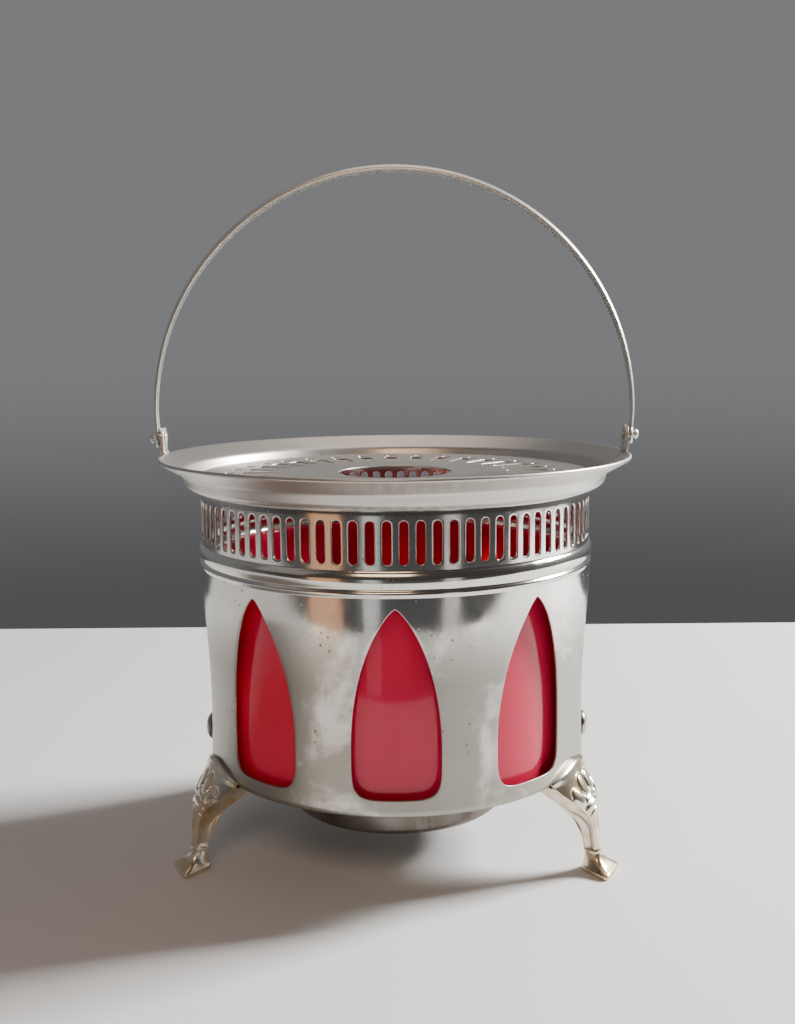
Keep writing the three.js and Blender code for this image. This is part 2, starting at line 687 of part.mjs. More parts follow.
// Legs: stations are [height, value] in leg units, from the ankle upwards. Front and rear
// are distances outside the fan's back, half is half the width, and crown is how far the
// front's edges lie inside its middle

const LEG_FRONT = [[60, 92], [90, 91], [140, 89], [190, 84], [220, 77], [250, 62], [275, 47],
  [300, 33], [330, 18], [357, 7]];
const LEG_HALF = [[60, 24], [90, 23], [130, 26], [160, 30], [190, 43], [220, 69], [250, 97],
  [285, 126], [320, 145]];
const LEG_REAR = [[60, 47], [90, 45], [120, 38], [150, 24], [180, 4], [210, -15], [240, -38],
  [270, -58], [294, -63]];
const LEG_CROWN = [[60, 11], [130, 11], [160, 14], [190, 18], [250, 19], [285, 24], [300, 24],
  [320, 16], [357, 2]];
const ANKLE = 62;
const LEG_COLUMNS = 6;
const POCKET_FOOT = 130;
const FOOT_STEPS = 16;

// Rings of the foot: [height, half width, inner end, outer end, taper, roundness], where
// taper narrows the inner end, and roundness is 1 for an oval and small for square corners
const FOOT_RINGS = [
  [0, 64, 41, 136, 0.5, 0.5],
  [7, 68, 38, 140, 0.5, 0.5],
  [24, 67, 38, 139, 0.5, 0.5],
  [33, 58, 40, 130, 0.45, 0.6],
  [44, 40, 44, 112, 0.3, 0.8],
  [ANKLE, 27, 46, 97, 0.1, 0.9],
  [ANKLE + 18, 24, 47, 91, 0, 0.9],
];

// Value of a station curve at a height, in millimetres
function legAt(stations, z) {
  return along(stations, z / LEG_UNIT) * LEG_UNIT;
}

// Ring of front points at one height; inset moves the whole front inwards.
function legFrontRow(z, drop, inset) {
  const row = [];
  for (let j = 0; j <= LEG_COLUMNS; j += 1) {
    const s = (2 * j) / LEG_COLUMNS - 1;
    const height = z - drop * Math.abs(s) ** 1.5;
    const half = legAt(LEG_HALF, height) - inset;
    const r = LEG_BACK_R + legAt(LEG_FRONT, height) - legAt(LEG_CROWN, height) * s * s - inset;
    const x = s * half;
    row.push([x, -Math.sqrt(r * r - x * x), height]);
  }
  return row;
}

function legFan() {
  const front = [];
  const rear = [];
  const rows = 3;
  for (let i = 0; i <= rows; i += 1) {
    const part = i / rows;
    const z = LEG_FAN_TOP_Z + (LEG_SEAT_Z - LEG_FAN_TOP_Z) * part;
    const row = legFrontRow(z, LEG_FAN_DROP * (1 - part), 0);
    front.push(row);
    rear.push(row.map(([x, , height]) => [x, -Math.sqrt(LEG_BACK_R * LEG_BACK_R - x * x), height]));
  }
  return thickSheet(front, rear);
}

function legKnee(topZ, footZ, rows, inset, reach) {
  const front = [];
  const rear = [];
  for (let i = 0; i <= rows; i += 1) {
    const z = topZ + ((footZ - topZ) * i) / rows;
    const row = legFrontRow(z, 0, inset);
    front.push(row);
    rear.push(row.map(([x]) => [x, -(LEG_BACK_R + legAt(LEG_REAR, z) - reach), z]));
  }
  return thickSheet(front, rear);
}

function footRing([height, half, inner, outer, taper, roundness]) {
  const bent = (value) => Math.sign(value) * Math.abs(value) ** roundness;
  const ring = [];
  for (let i = 0; i < FOOT_STEPS; i += 1) {
    const turn = (TURN * (i + 0.5)) / FOOT_STEPS;
    const reach = bent(Math.cos(turn));
    const x = (half * bent(Math.sin(turn)) * (1 + taper * reach)) / (1 + taper);
    const out = (inner + outer) / 2 + ((outer - inner) / 2) * reach;
    ring.push([x * LEG_UNIT, -(LEG_BACK_R + out * LEG_UNIT), height * LEG_UNIT]);
  }
  return ring;
}

function legTongue() {
  const steps = 8;
  const points = [];
  for (let i = 0; i <= steps; i += 1) {
    const turn = radians((180 * i) / steps);
    const centre = LEG_TONGUE_R + LEG_TONGUE_HALF;
    const x = LEG_TONGUE_HALF * Math.cos(turn);
    points.push([x, -(centre - LEG_TONGUE_HALF * Math.sin(turn))]);
  }
  points.push([-LEG_TONGUE_HALF, -LEG_BACK_R], [LEG_TONGUE_HALF, -LEG_BACK_R]);
  return prism(points, LEG_TONGUE_THICK).translate(0, 0, LEG_POCKET_TOP_Z);
}

function buildLeg() {
  const knee = solidOf(legKnee(LEG_SEAT_Z, ANKLE * LEG_UNIT, 7, 0, 0));
  const pocketFoot = POCKET_FOOT * LEG_UNIT;
  const pocket = solidOf(legKnee(LEG_POCKET_TOP_Z, pocketFoot, 4, LEG_WALL, LEG_WALL * 3));
  const [low, high] = [LEG_POCKET_TOP_Z - CUT_PAST, LEG_SEAT_Z + CUT_PAST];
  const hole = cylinder(LEG_SHANK_R + SEAT_GAP, low, high, 14);
  const foot = solidOf(stack(FOOT_RINGS.map(footRing)));
  const whole = knee.subtract(pocket).add(solidOf(legFan())).add(foot);
  const drilled = whole.add(solidOf(legTongue()));
  return drilled.subtract(solidOf(hole.translate(0, -LEG_RIVET_R, 0)));
}

function legRivet(azimuth) {
  const base = FLANGE_TOP_Z + SEAT_GAP;
  const grip = base - LEG_POCKET_TOP_Z + SEAT_GAP;
  const size = { headR: LEG_HEAD_R, headRise: LEG_HEAD_RISE, shankR: LEG_SHANK_R };
  const shape = rivet({ ...size, grip, tailR: LEG_HEAD_R, tailRise: LEG_HEAD_RISE });
  return solidOf(shape.translate(0, -LEG_RIVET_R, base).rotateZ(radians(azimuth)));
}

// Bail

function bailRing(outerX, outerZ, normalX, normalZ, width, thick) {
  const half = width / 2;
  const section = [[-half, 1], [half, 1], [half * 0.94, 0.62], [half * 0.55, 0.14], [0, 0],
    [-half * 0.55, 0.14], [-half * 0.94, 0.62]];
  return section.map(([y, depth]) => {
    const inward = depth * thick;
    return [outerX - normalX * inward, y, outerZ - normalZ * inward];
  });
}

function bailStrip() {
  const rings = [];
  const eyeOuter = EYE_X + BAIL_END_THICK;
  const footRing = (side) => {
    const z = PIVOT_Z + EYE_R * 0.4;
    return bailRing(side * eyeOuter, z, side, 0, BAIL_END_WIDTH, BAIL_END_THICK);
  };
  rings.push(footRing(-1));
  for (let i = 0; i <= BAIL_STEPS; i += 1) {
    const lean = radians(-90 + (180 * i) / BAIL_STEPS);
    const [x, z] = [Math.sin(lean), Math.cos(lean)];
    const width = BAIL_END_WIDTH + (BAIL_APEX_WIDTH - BAIL_END_WIDTH) * z;
    const thick = BAIL_END_THICK + (BAIL_APEX_THICK - BAIL_END_THICK) * z;
    rings.push(bailRing(BAIL_OUTER_R * x, BAIL_ARC_Z + BAIL_OUTER_R * z, x, z, width, thick));
  }
  rings.push(footRing(1));
  return stack(rings);
}

// Disc or bore along X between two distances on one side.
function alongX(radius, low, high, side, segments) {
  return cylinder(radius, low, high, segments).applyMatrix4(radialFrame(90 * side, 0, PIVOT_Z));
}

function buildBail() {
  let bail = solidOf(bailStrip());
  for (const side of [1, -1]) {
    const eye = solidOf(alongX(EYE_R, EYE_X, EYE_X + BAIL_END_THICK, side, 20));
    const [near, far] = [EYE_X - CUT_PAST, EYE_X + BAIL_END_THICK + CUT_PAST];
    const bore = alongX(PIVOT_SHANK_R + RUN_GAP, near, far, side, 20);
    bail = bail.add(eye).subtract(solidOf(bore));
  }
  return bail;
}

function buildLug(side) {
  const flareSlope = (RIM_Z - FLARE_FOOT_Z) / (RIM_R - FLARE_FOOT_R);
  const outer = LUG_X + LUG_THICK;
  const flareTop = (x) => RIM_Z + RIM_SHEET * 1.2 - (RIM_R - x) * flareSlope;
  const under = (x) => flareTop(x) + SEAT_GAP;
  const steps = 8;
  const plate = [[LUG_HALF, under(outer) + LUG_FOOT_THICK * 0.1], [LUG_HALF, PIVOT_Z]];
  for (let i = 1; i < steps; i += 1) {
    const turn = radians((180 * i) / steps);
    plate.push([LUG_HALF * Math.cos(turn), PIVOT_Z + LUG_HALF * Math.sin(turn)]);
  }
  plate.push([-LUG_HALF, PIVOT_Z], [-LUG_HALF, under(outer) + LUG_FOOT_THICK * 0.1]);
  const upright = solidOf(prism(plate, LUG_THICK).applyMatrix4(radialFrame(90 * side, LUG_X)));
  const foot = [
    [outer, under(outer)],
    [outer, under(outer) + LUG_FOOT_THICK],
    [LUG_FOOT_INNER_X, under(LUG_FOOT_INNER_X) + LUG_FOOT_THICK],
    [LUG_FOOT_INNER_X, under(LUG_FOOT_INNER_X)],
  ];
  const across = prism(foot, LUG_HALF * 2).translate(0, 0, -LUG_HALF).rotateX(Math.PI / 2);
  if (side < 0) {
    across.rotateZ(Math.PI);
  }
  const bore = alongX(PIVOT_SHANK_R + RUN_GAP, LUG_X - CUT_PAST, outer + CUT_PAST, side, 20);
  return upright.add(solidOf(across)).subtract(solidOf(bore));
}

function pivotRivet(side) {
  const base = EYE_X + BAIL_END_THICK + SNUG_GAP;
  const grip = base - LUG_X + SNUG_GAP;
  const size = { headR: PIVOT_HEAD_R, headRise: PIVOT_HEAD_RISE, shankR: PIVOT_SHANK_R, segments: 16 };
  const shape = rivet({ ...size, grip, tailR: PIVOT_HEAD_R, tailRise: PIVOT_TAIL_RISE });
  return solidOf(shape.applyMatrix4(radialFrame(90 * side, base, PIVOT_Z)));
}

// Tea light

function buildCandleCup() {
  const top = CANDLE_Z + CANDLE_HEIGHT;
  const inner = CANDLE_R - CANDLE_SHEET;
  return solidOf(revolve([
    [0, CANDLE_Z],
    [CANDLE_R - CANDLE_CORNER, CANDLE_Z],
    [CANDLE_R, CANDLE_Z + CANDLE_CORNER],
    [CANDLE_R, top],
    [inner, top],
    [inner, CANDLE_Z + CANDLE_SHEET + CANDLE_CORNER * 0.8],
    [inner - CANDLE_CORNER * 0.8, CANDLE_Z + CANDLE_SHEET],
    [0, CANDLE_Z + CANDLE_SHEET],
  ], 24));
}

const WAX_FOOT_Z = CANDLE_Z + CANDLE_SHEET + SEAT_GAP;
const WAX_TOP_Z = WAX_FOOT_Z + WAX_DEPTH;
const SUSTAINER_POCKET_Z = WAX_FOOT_Z + SUSTAINER_POCKET;

function buildWax() {
  const outer = CANDLE_R - CANDLE_SHEET - SEAT_GAP;
  return solidOf(revolve([
    [SUSTAINER_R + SEAT_GAP, WAX_FOOT_Z],
    [outer - WAX_CORNER, WAX_FOOT_Z],
    [outer, WAX_FOOT_Z + WAX_CORNER],
    [outer, WAX_TOP_Z],
    [WICK_R + SEAT_GAP, WAX_TOP_Z - WAX_DISH],
    [WICK_R + SEAT_GAP, SUSTAINER_POCKET_Z],
    [SUSTAINER_R + SEAT_GAP, SUSTAINER_POCKET_Z],
  ], 24));
}

function buildSustainer() {
  const inner = WICK_R + RUN_GAP;
  return solidOf(revolve([
    [inner, WAX_FOOT_Z],
    [SUSTAINER_R, WAX_FOOT_Z],
    [SUSTAINER_R, WAX_FOOT_Z + SUSTAINER_SHEET],
    [inner + SUSTAINER_SHEET / 2, SUSTAINER_POCKET_Z - SEAT_GAP],
    [inner, SUSTAINER_POCKET_Z - SEAT_GAP],
  ], 16));
}

function buildWick() {
  return solidOf(cylinder(WICK_R, WAX_FOOT_Z, WAX_TOP_Z + WICK_RISE, 10));
}

// Finishes

const FINISH = {
  silver: { color: 0xc9c2b2, metalness: 1, roughness: 0.24 },
  castSilver: { color: 0xc8b48c, metalness: 1, roughness: 0.34 },
  glass: { color: 0x8e0f16, metalness: 0, roughness: 0.08 },
  tinPan: { color: 0xb9b1a1, metalness: 1, roughness: 0.32 },
  foil: { color: 0xc4c6c9, metalness: 1, roughness: 0.36 },
  wax: { color: 0xf1ece0, metalness: 0, roughness: 0.55 },
  cotton: { color: 0xe4ddcb, metalness: 0, roughness: 0.95 },
};

const group = new THREE.Group();
group.name = 'teapot_warmer';

function place(name, solid, finish) {
  const material = new THREE.MeshStandardMaterial(FINISH[finish]);
  const mesh = new THREE.Mesh(geometryOf(solid), material);
  mesh.name = name;
  group.add(mesh);
}

place('rim_collar', buildCollar(), 'silver');
place('drum_shell', buildDrum(), 'silver');
place('top_plate', buildPlate(), 'silver');
place('glass_liner', buildGlass(), 'glass');
place('bottom_pan', buildPan(), 'tinPan');
place('side_rivet_right', sideRivet(90), 'silver');
place('side_rivet_left', sideRivet(-90), 'silver');
const leg = buildLeg();
LEG_AZIMUTHS.forEach((azimuth, i) => {
  place(LEG_NAMES[i], leg.rotate([0, 0, azimuth]), 'castSilver');
  place(`${LEG_NAMES[i]}_rivet`, legRivet(azimuth), 'silver');
});
place('bail_lug_right', buildLug(1), 'silver');
place('bail_lug_left', buildLug(-1), 'silver');
place('bail', buildBail(), 'silver');
place('pivot_rivet_right', pivotRivet(1), 'silver');
place('pivot_rivet_left', pivotRivet(-1), 'silver');
place('candle_cup', buildCandleCup(), 'foil');
place('candle_wax', buildWax(), 'wax');
place('wick_sustainer', buildSustainer(), 'foil');
place('candle_wick', buildWick(), 'cotton');

export default group;
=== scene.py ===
"""Teapot warmer: a pierced silver drum on three cast legs, with a flared rim, a lift-out
pierced plate, a swinging bail, a red glass liner and a tea light.

Shapes are worked out in millimetres as numpy surfaces of two parameters and put into
Blender meshes in metres. Azimuth 0 is the front (-Y) and grows towards +X.
"""

import logging
import math
from dataclasses import dataclass, field
from enum import Enum
from typing import Any, Callable, Sequence

import bmesh
import bpy
import numpy as np
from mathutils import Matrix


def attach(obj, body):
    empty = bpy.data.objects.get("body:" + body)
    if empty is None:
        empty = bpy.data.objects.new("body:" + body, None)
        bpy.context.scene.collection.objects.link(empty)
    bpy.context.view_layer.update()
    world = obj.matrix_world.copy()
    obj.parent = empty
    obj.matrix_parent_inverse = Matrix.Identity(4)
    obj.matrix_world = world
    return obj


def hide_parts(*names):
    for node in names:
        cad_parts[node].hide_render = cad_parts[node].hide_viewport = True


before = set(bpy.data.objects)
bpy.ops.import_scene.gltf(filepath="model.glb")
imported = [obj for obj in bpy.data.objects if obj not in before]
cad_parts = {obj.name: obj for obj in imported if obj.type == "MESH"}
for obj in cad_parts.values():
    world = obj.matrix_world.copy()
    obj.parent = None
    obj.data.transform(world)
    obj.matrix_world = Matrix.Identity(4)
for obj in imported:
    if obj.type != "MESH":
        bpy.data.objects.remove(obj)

LOG = logging.getLogger("teapot_warmer")
IMAGE_WIDTH, IMAGE_HEIGHT = 795, 1024
MM = 0.001
WELD_MM = 2e-4
LEG_PLACES = (("right", 62.0), ("back", 180.0), ("left", -65.0))

SIDE_SEAT = (61.4, 36.5)
PIVOT_SEAT = (77.05, 132.8)
STUD_SEAT = (52.0, 30.7)
HOLE_CROWDING = 0.8
LIP_TURNS = (30.0, 60.0, 90.0)

Array = np.ndarray
Pair = tuple[float, float]
Triple = tuple[float, float, float]
Colour = tuple[float, float, float, float]
Stations = Sequence[Pair]


# Curves


def along(stations: Stations, x: Array) -> Array:
    """Value at x on a smooth curve: a cubic between neighbouring stations, whose slope at
    each station is the slope between the stations before and after it.

    Args:
        stations: (position, value) pairs, positions rising.
        x: Positions to read, clamped to the stations.

    Returns:
        The values, in the shape of x.
    """
    knots = np.asarray(stations, float)
    at, value = knots[:, 0], knots[:, 1]
    slope = np.empty_like(value)
    slope[1:-1] = (value[2:] - value[:-2]) / (at[2:] - at[:-2])
    slope[0] = (value[1] - value[0]) / (at[1] - at[0])
    slope[-1] = (value[-1] - value[-2]) / (at[-1] - at[-2])
    low = np.clip(np.searchsorted(at, x, side="right") - 1, 0, len(at) - 2)
    span = at[low + 1] - at[low]
    t = np.clip((x - at[low]) / span, 0.0, 1.0)
    ease = t * t * (3 - 2 * t)
    bend = t * (1 - t) * ((1 - t) * slope[low] - t * slope[low + 1])
    return value[low] + (value[low + 1] - value[low]) * ease + span * bend


def smooth_step(low: float, high: float, x: Array) -> Array:
    """Zero below low, one above high, and 3t^2 - 2t^3 between them."""
    t = np.clip((x - low) / (high - low), 0.0, 1.0)
    return t * t * (3 - 2 * t)


def bump(centre: float, half: float, x: Array) -> Array:
    """A smooth hump of height 1 at centre, down to zero at half on either side."""
    return 1 - smooth_step(0.0, half, np.abs(x - centre))


def beside(*columns: Any) -> Array:
    """Arrays or numbers set side by side along a new last axis."""
    return np.stack(np.broadcast_arrays(*columns), axis=-1)


def distances(line: Array) -> Array:
    """Distance along a line to each of its points."""
    return np.concatenate([[0.0], np.cumsum(np.hypot(*np.diff(line, axis=0).T))])


def shares(outline: Array) -> Array:
    """Share of a closed outline's length at each of its points, then 1 for the first
    point again."""
    reach = distances(np.concatenate([outline, outline[:1]]))
    return reach / reach[-1]


def polyline(points: Sequence[Pair], step: float) -> Array:
    """Points of a smooth curve through the given points, about one step apart: each
    coordinate is a cubic in the chord length.

    Args:
        points: Corner points of the curve.
        step: Spacing along the curve.

    Returns:
        An (n, 2) array.
    """
    knots = np.asarray(points, float)
    chord = distances(knots)
    count = max(int(chord[-1] / step), 2)
    s = np.linspace(0.0, chord[-1], count + 1)
    return beside(*(along(list(zip(chord, knots[:, axis])), s) for axis in (0, 1)))


def filleted(points: Sequence[Triple], steps: int = 4) -> Array:
    """Closed outline through (x, y, radius) corners, each rounded by a curve that leaves
    and joins its sides at radius from the corner.

    Args:
        points: Corners with their rounding.
        steps: Steps over each rounded corner.

    Returns:
        An (m, 2) closed outline.
    """
    corners = np.asarray(points, float)
    result = []
    for i, (x, y, radius) in enumerate(corners):
        here = np.array([x, y])
        before, after = corners[i - 1, :2], corners[(i + 1) % len(corners), :2]
        if radius <= 0:
            result.append(here[None])
            continue
        into = (before - here) / np.linalg.norm(before - here)
        out = (after - here) / np.linalg.norm(after - here)
        t = np.linspace(0, 1, steps + 1)[:, None]
        a, b = here + into * radius, here + out * radius
        result.append((1 - t) ** 2 * a + 2 * t * (1 - t) * here + t * t * b)
    return np.concatenate(result)


def densify(outline: Array, longest: float) -> Array:
    """A closed outline with its long sides split, so that no side is over a length."""
    result = []
    for a, b in zip(outline, np.roll(outline, -1, axis=0)):
        count = max(int(math.ceil(np.linalg.norm(b - a) / longest)), 1)
        t = np.arange(count)[:, None] / count
        result.append(a + (b - a) * t)
    return np.concatenate(result)


# Surfaces


def turned(azimuth_deg: Array, radius: Array, z: Array) -> Array:
    """Points at an azimuth, radius and height: (r sin a, -r cos a, z)."""
    turn = np.radians(azimuth_deg)
    return beside(radius * np.sin(turn), -radius * np.cos(turn), z)


def revolve(outline: Array, columns: int, start_deg: float = 0.0) -> Array:
    """Grid of an outline turned about Z: point (i, j) is outline point i at azimuth
    start + 360 j / columns.

    Args:
        outline: (n, 2) points of radius and height.
        columns: Steps round the axis.
        start_deg: Azimuth of the first column.

    Returns:
        (n, columns, 3) points.
    """
    azimuth = start_deg + 360.0 * np.arange(columns) / columns
    return turned(azimuth[None, :], outline[:, :1], outline[:, 1:])


def spun(points: Array, azimuth_deg: float) -> Array:
    """Points turned about Z by an azimuth, so that the front goes to that azimuth."""
    turn = math.radians(azimuth_deg)
    c, s = math.cos(turn), math.sin(turn)
    x, y, z = np.moveaxis(points, -1, 0)
    return beside(c * x - s * y, s * x + c * y, z)


def lay_over(points: Array, azimuth_deg: float, radius: float, height: float) -> Array:
    """Points of a shape built along +Z, laid so that its +Z looks outwards at an azimuth:
    local X goes along the tangent, Y up and Z outwards.

    Args:
        points: Points of the shape.
        azimuth_deg: Where it looks.
        radius: Distance of its origin from the axis.
        height: Height of its origin.

    Returns:
        The moved points.
    """
    x, y, z = np.moveaxis(points, -1, 0)
    return spun(beside(x, -(radius + z), height + y), azimuth_deg)


@dataclass
class Skin:
    """Grids of points that are welded into one closed mesh."""

    name: str
    points: list[Array] = field(default_factory=list)
    faces: list[Array] = field(default_factory=list)
    count: int = 0

    def grid(self, grid: Array, wrap_rows: bool = False, wrap_columns: bool = False) -> "Skin":
        """Adds a grid of quads.

        Args:
            grid: (rows, columns, 3) points in millimetres.
            wrap_rows: Whether the last row joins the first.
            wrap_columns: Whether the last column joins the first.

        Returns:
            The skin itself.
        """
        rows, columns = grid.shape[:2]
        index = self.count + np.arange(rows * columns).reshape(rows, columns)
        down = np.roll(index, -1, axis=0) if wrap_rows else index[1:]
        here = index if wrap_rows else index[:-1]
        if wrap_columns:
            corners = [here, np.roll(here, -1, axis=1), np.roll(down, -1, axis=1), down]
        else:
            corners = [here[:, :-1], here[:, 1:], down[:, 1:], down[:, :-1]]
        self.faces.append(np.stack(corners, axis=-1).reshape(-1, 4))
        self.points.append(grid.reshape(-1, 3))
        self.count += rows * columns
        return self

    def lid(self, ring: Array) -> "Skin":
        """Closes a ring of points with quads that run to its middle, as a grid whose last
        row is the middle point repeated."""
        middle = ring.mean(axis=0, keepdims=True)
        t = np.array([0.0, 0.5, 1.0])[:, None, None]
        return self.grid(ring[None] * (1 - t) + middle[None] * t, wrap_columns=True)

    def mesh(self, sharp_deg: float) -> bpy.types.Mesh:
        """The welded mesh in metres, faces out, smooth except over sharp edges.

        Args:
            sharp_deg: Edges that turn by more than this stay sharp.

        Returns:
            The new mesh.
        """
        mesh = bpy.data.meshes.new(self.name)
        points = np.concatenate(self.points) * MM
        faces = np.concatenate(self.faces)
        mesh.from_pydata(points.tolist(), [], faces.tolist())
        work = bmesh.new()
        work.from_mesh(mesh)
        bmesh.ops.remove_doubles(work, verts=work.verts, dist=WELD_MM * MM)
        bmesh.ops.dissolve_degenerate(work, edges=work.edges, dist=WELD_MM * MM)
        bmesh.ops.recalc_face_normals(work, faces=work.faces)
        open_edges = sum(1 for edge in work.edges if not edge.is_manifold)
        work.to_mesh(mesh)
        work.free()
        mesh.shade_smooth()
        mesh.set_sharp_from_angle(angle=math.radians(sharp_deg))
        if open_edges:
            LOG.warning("%s has %d open edges", self.name, open_edges)
        return mesh


def pierced_tile(border: Array, hole: Array, spread: int, rim: float, thickness: float) -> Array:
    """Sheet between a border and a hole, with a rounded edge at the hole.

    Column j runs from border point j over the front face to the hole, round the hole's
    edge, through the sheet and back under the sheet to the border: the face is a blend
    border (1 - t) + hole t, and the edge is the hole's outline moved by rim (1 - sin a) at
    a depth of rim (1 - cos a).

    Args:
        border: (n, 2) closed border in the sheet's plane.
        hole: (n, 2) hole outline, one point for each border point.
        spread: Steps from border to hole.
        rim: Rounding of the hole's edge.
        thickness: Sheet thickness.

    Returns:
        (rows, n, 3) grid of plane position and depth.
    """
    tangent = np.roll(hole, -1, axis=0) - np.roll(hole, 1, axis=0)
    tangent /= np.linalg.norm(tangent, axis=1, keepdims=True)
    normal = beside(tangent[:, 1], -tangent[:, 0])
    if np.sum(normal * (hole - hole.mean(axis=0))) < 0:
        normal = -normal
    edge = hole + normal * rim
    t = (np.linspace(0, 1, spread + 1) ** HOLE_CROWDING)[:, None, None]
    face = border[None] * (1 - t) + edge[None] * t
    turn = np.radians(LIP_TURNS)[:, None, None]
    lip = hole[None] + normal[None] * rim * (1 - np.sin(turn))
    lip_depth = rim * (1 - np.cos(turn[:, :, 0]))
    plane = np.concatenate([face, lip, lip[::-1], face[::-1]])
    face_depth = np.zeros((len(face), 1))
    depth = np.concatenate(
        [face_depth, lip_depth, thickness - lip_depth[::-1], face_depth + thickness])
    return beside(plane[..., 0], plane[..., 1], depth)


def box_border(xs: Array, ys: Array) -> Array:
    """Closed border of a rectangle, clockwise from its top left corner, through the given
    x and y divisions."""
    top = beside(xs, ys[-1])[:-1]
    right = beside(xs[-1], ys[::-1])[:-1]
    foot = beside(xs[::-1], ys[0])[:-1]
    left = beside(xs[0], ys)[:-1]
    return np.concatenate([top, right, foot, left])


def match_outline(outline: Array, anchors: Sequence[tuple[int, float]], count: int) -> Array:
    """Points of a closed outline matched to border points by anchors.

    Args:
        outline: Dense closed outline, clockwise.
        anchors: (border index, share of the outline's length) pairs in rising order,
            covering one whole turn.
        count: Number of border points.

    Returns:
        (count, 2) points.
    """
    closed, share = np.concatenate([outline, outline[:1]]), shares(outline)
    index, value = np.asarray(anchors, float).T
    want = np.interp(np.arange(index[0], index[0] + count), index, value) % 1.0
    points = beside(*(np.interp(want, share, closed[:, axis]) for axis in (0, 1)))
    return np.roll(points, int(index[0]), axis=0)


# Materials


class Wire:
    """A node socket that takes part in Python expressions on values."""

    def __init__(self, paint: "Paint", socket: bpy.types.NodeSocket) -> None:
        """Wraps a socket of a node tree."""
        self.paint, self.socket = paint, socket

    def math(self, operation: str, *others: Any) -> "Wire":
        """A Math node on this value and others."""
        inputs = dict(enumerate((self, *others)))
        return self.paint.node("ShaderNodeMath", {"operation": operation}, inputs)

    def __add__(self, other: Any) -> "Wire":
        """Sum."""
        return self.math("ADD", other)

    def __sub__(self, other: Any) -> "Wire":
        """Difference."""
        return self.math("SUBTRACT", other)

    def __mul__(self, other: Any) -> "Wire":
        """Product."""
        return self.math("MULTIPLY", other)

    def within(self, low: float, high: float) -> "Wire":
        """Zero at low, one at high, smooth between them; high may be below low."""
        settings = {"interpolation_type": "SMOOTHSTEP"}
        inputs = {"Value": self, "From Min": low, "From Max": high}
        return self.paint.node("ShaderNodeMapRange", settings, inputs)


class Paint:
    """Builds the node tree of one material or of the world."""

    def __init__(self, owner: bpy.types.Material | bpy.types.World) -> None:
        """Starts with an empty tree."""
        owner.use_nodes = True
        self.owner, self.tree = owner, owner.node_tree
        self.tree.nodes.clear()
        self._place: Wire | None = None

    def node(self, kind: str, settings: dict[str, Any], inputs: dict[Any, Any],
             out: Any = 0) -> Wire:
        """Adds any node.

        Args:
            kind: Blender's node type.
            settings: Properties, set before the sockets.
            inputs: Values or wires by socket name or index.
            out: Name or index of the output socket to return.

        Returns:
            The output as a wire.
        """
        made = self.tree.nodes.new(kind)
        for key, value in settings.items():
            setattr(made, key, value)
        for key, value in inputs.items():
            if isinstance(value, Wire):
                self.tree.links.new(value.socket, made.inputs[key])
            else:
                made.inputs[key].default_value = value
        return Wire(self, made.outputs[out])

    def close(self, kind: str, shader: Wire) -> None:
        """Links a shader to a new output node of a kind."""
        output = self.tree.nodes.new(kind)
        self.tree.links.new(shader.socket, output.inputs["Surface"])

    @property
    def place(self) -> Wire:
        """Object coordinates, in metres."""
        if self._place is None:
            self._place = self.node("ShaderNodeTexCoord", {}, {}, "Object")
        return self._place

    def noise(self, per_metre: float, detail: float = 3.0, rough: float = 0.5,
              warp: float = 0.0, stretch: Triple = (1.0, 1.0, 1.0)) -> Wire:
        """Fractal noise.

        Args:
            per_metre: Waves in a metre.
            detail: Octaves.
            rough: Strength of each octave in the one before.
            warp: Distortion.
            stretch: Scale of the place along X, Y and Z; under 1 draws the waves out.

        Returns:
            A value from 0 to 1.
        """
        mapped = self.node("ShaderNodeMapping", {}, {"Vector": self.place, "Scale": stretch})
        inputs = {"Vector": mapped, "Scale": per_metre, "Detail": detail, "Roughness": rough,
                  "Distortion": warp}
        return self.node("ShaderNodeTexNoise", {}, inputs, "Fac")

    def spots(self, per_metre: float, size: float, soft: float) -> Wire:
        """One inside small round spots scattered in space, zero between them."""
        inputs = {"Vector": self.place, "Scale": per_metre, "Randomness": 1.0}
        distance = self.node("ShaderNodeTexVoronoi", {"feature": "F1"}, inputs, "Distance")
        return distance.within(size + soft, size)

    def mix(self, factor: Wire, first: Any, second: Any) -> Wire:
        """Blend of two colours: the first where the factor is 0, the second where it is 1."""
        inputs = {0: factor, 6: first, 7: second}
        return self.node("ShaderNodeMix", {"data_type": "RGBA"}, inputs, 2)

    def relief(self, height: Wire, depth_mm: float, under: Wire | None = None) -> Wire:
        """Bump normal of a height of the given depth."""
        inputs = {"Height": height, "Distance": depth_mm * MM, "Strength": 1.0}
        if under is not None:
            inputs["Normal"] = under
        return self.node("ShaderNodeBump", {}, inputs)

    def principled(self, **sockets: Any) -> bpy.types.Material:
        """Closes the material with a Principled shader; underscores stand for spaces."""
        inputs = {key.replace("_", " "): value for key, value in sockets.items()}
        shader = self.node("ShaderNodeBsdfPrincipled", {}, inputs, "BSDF")
        self.close("ShaderNodeOutputMaterial", shader)
        return self.owner


def material_paint(name: str) -> Paint:
    """A paint on a new material."""
    return Paint(bpy.data.materials.new(name))


def rgba(red: float, green: float, blue: float) -> Colour:
    """An opaque colour."""
    return (red, green, blue, 1.0)


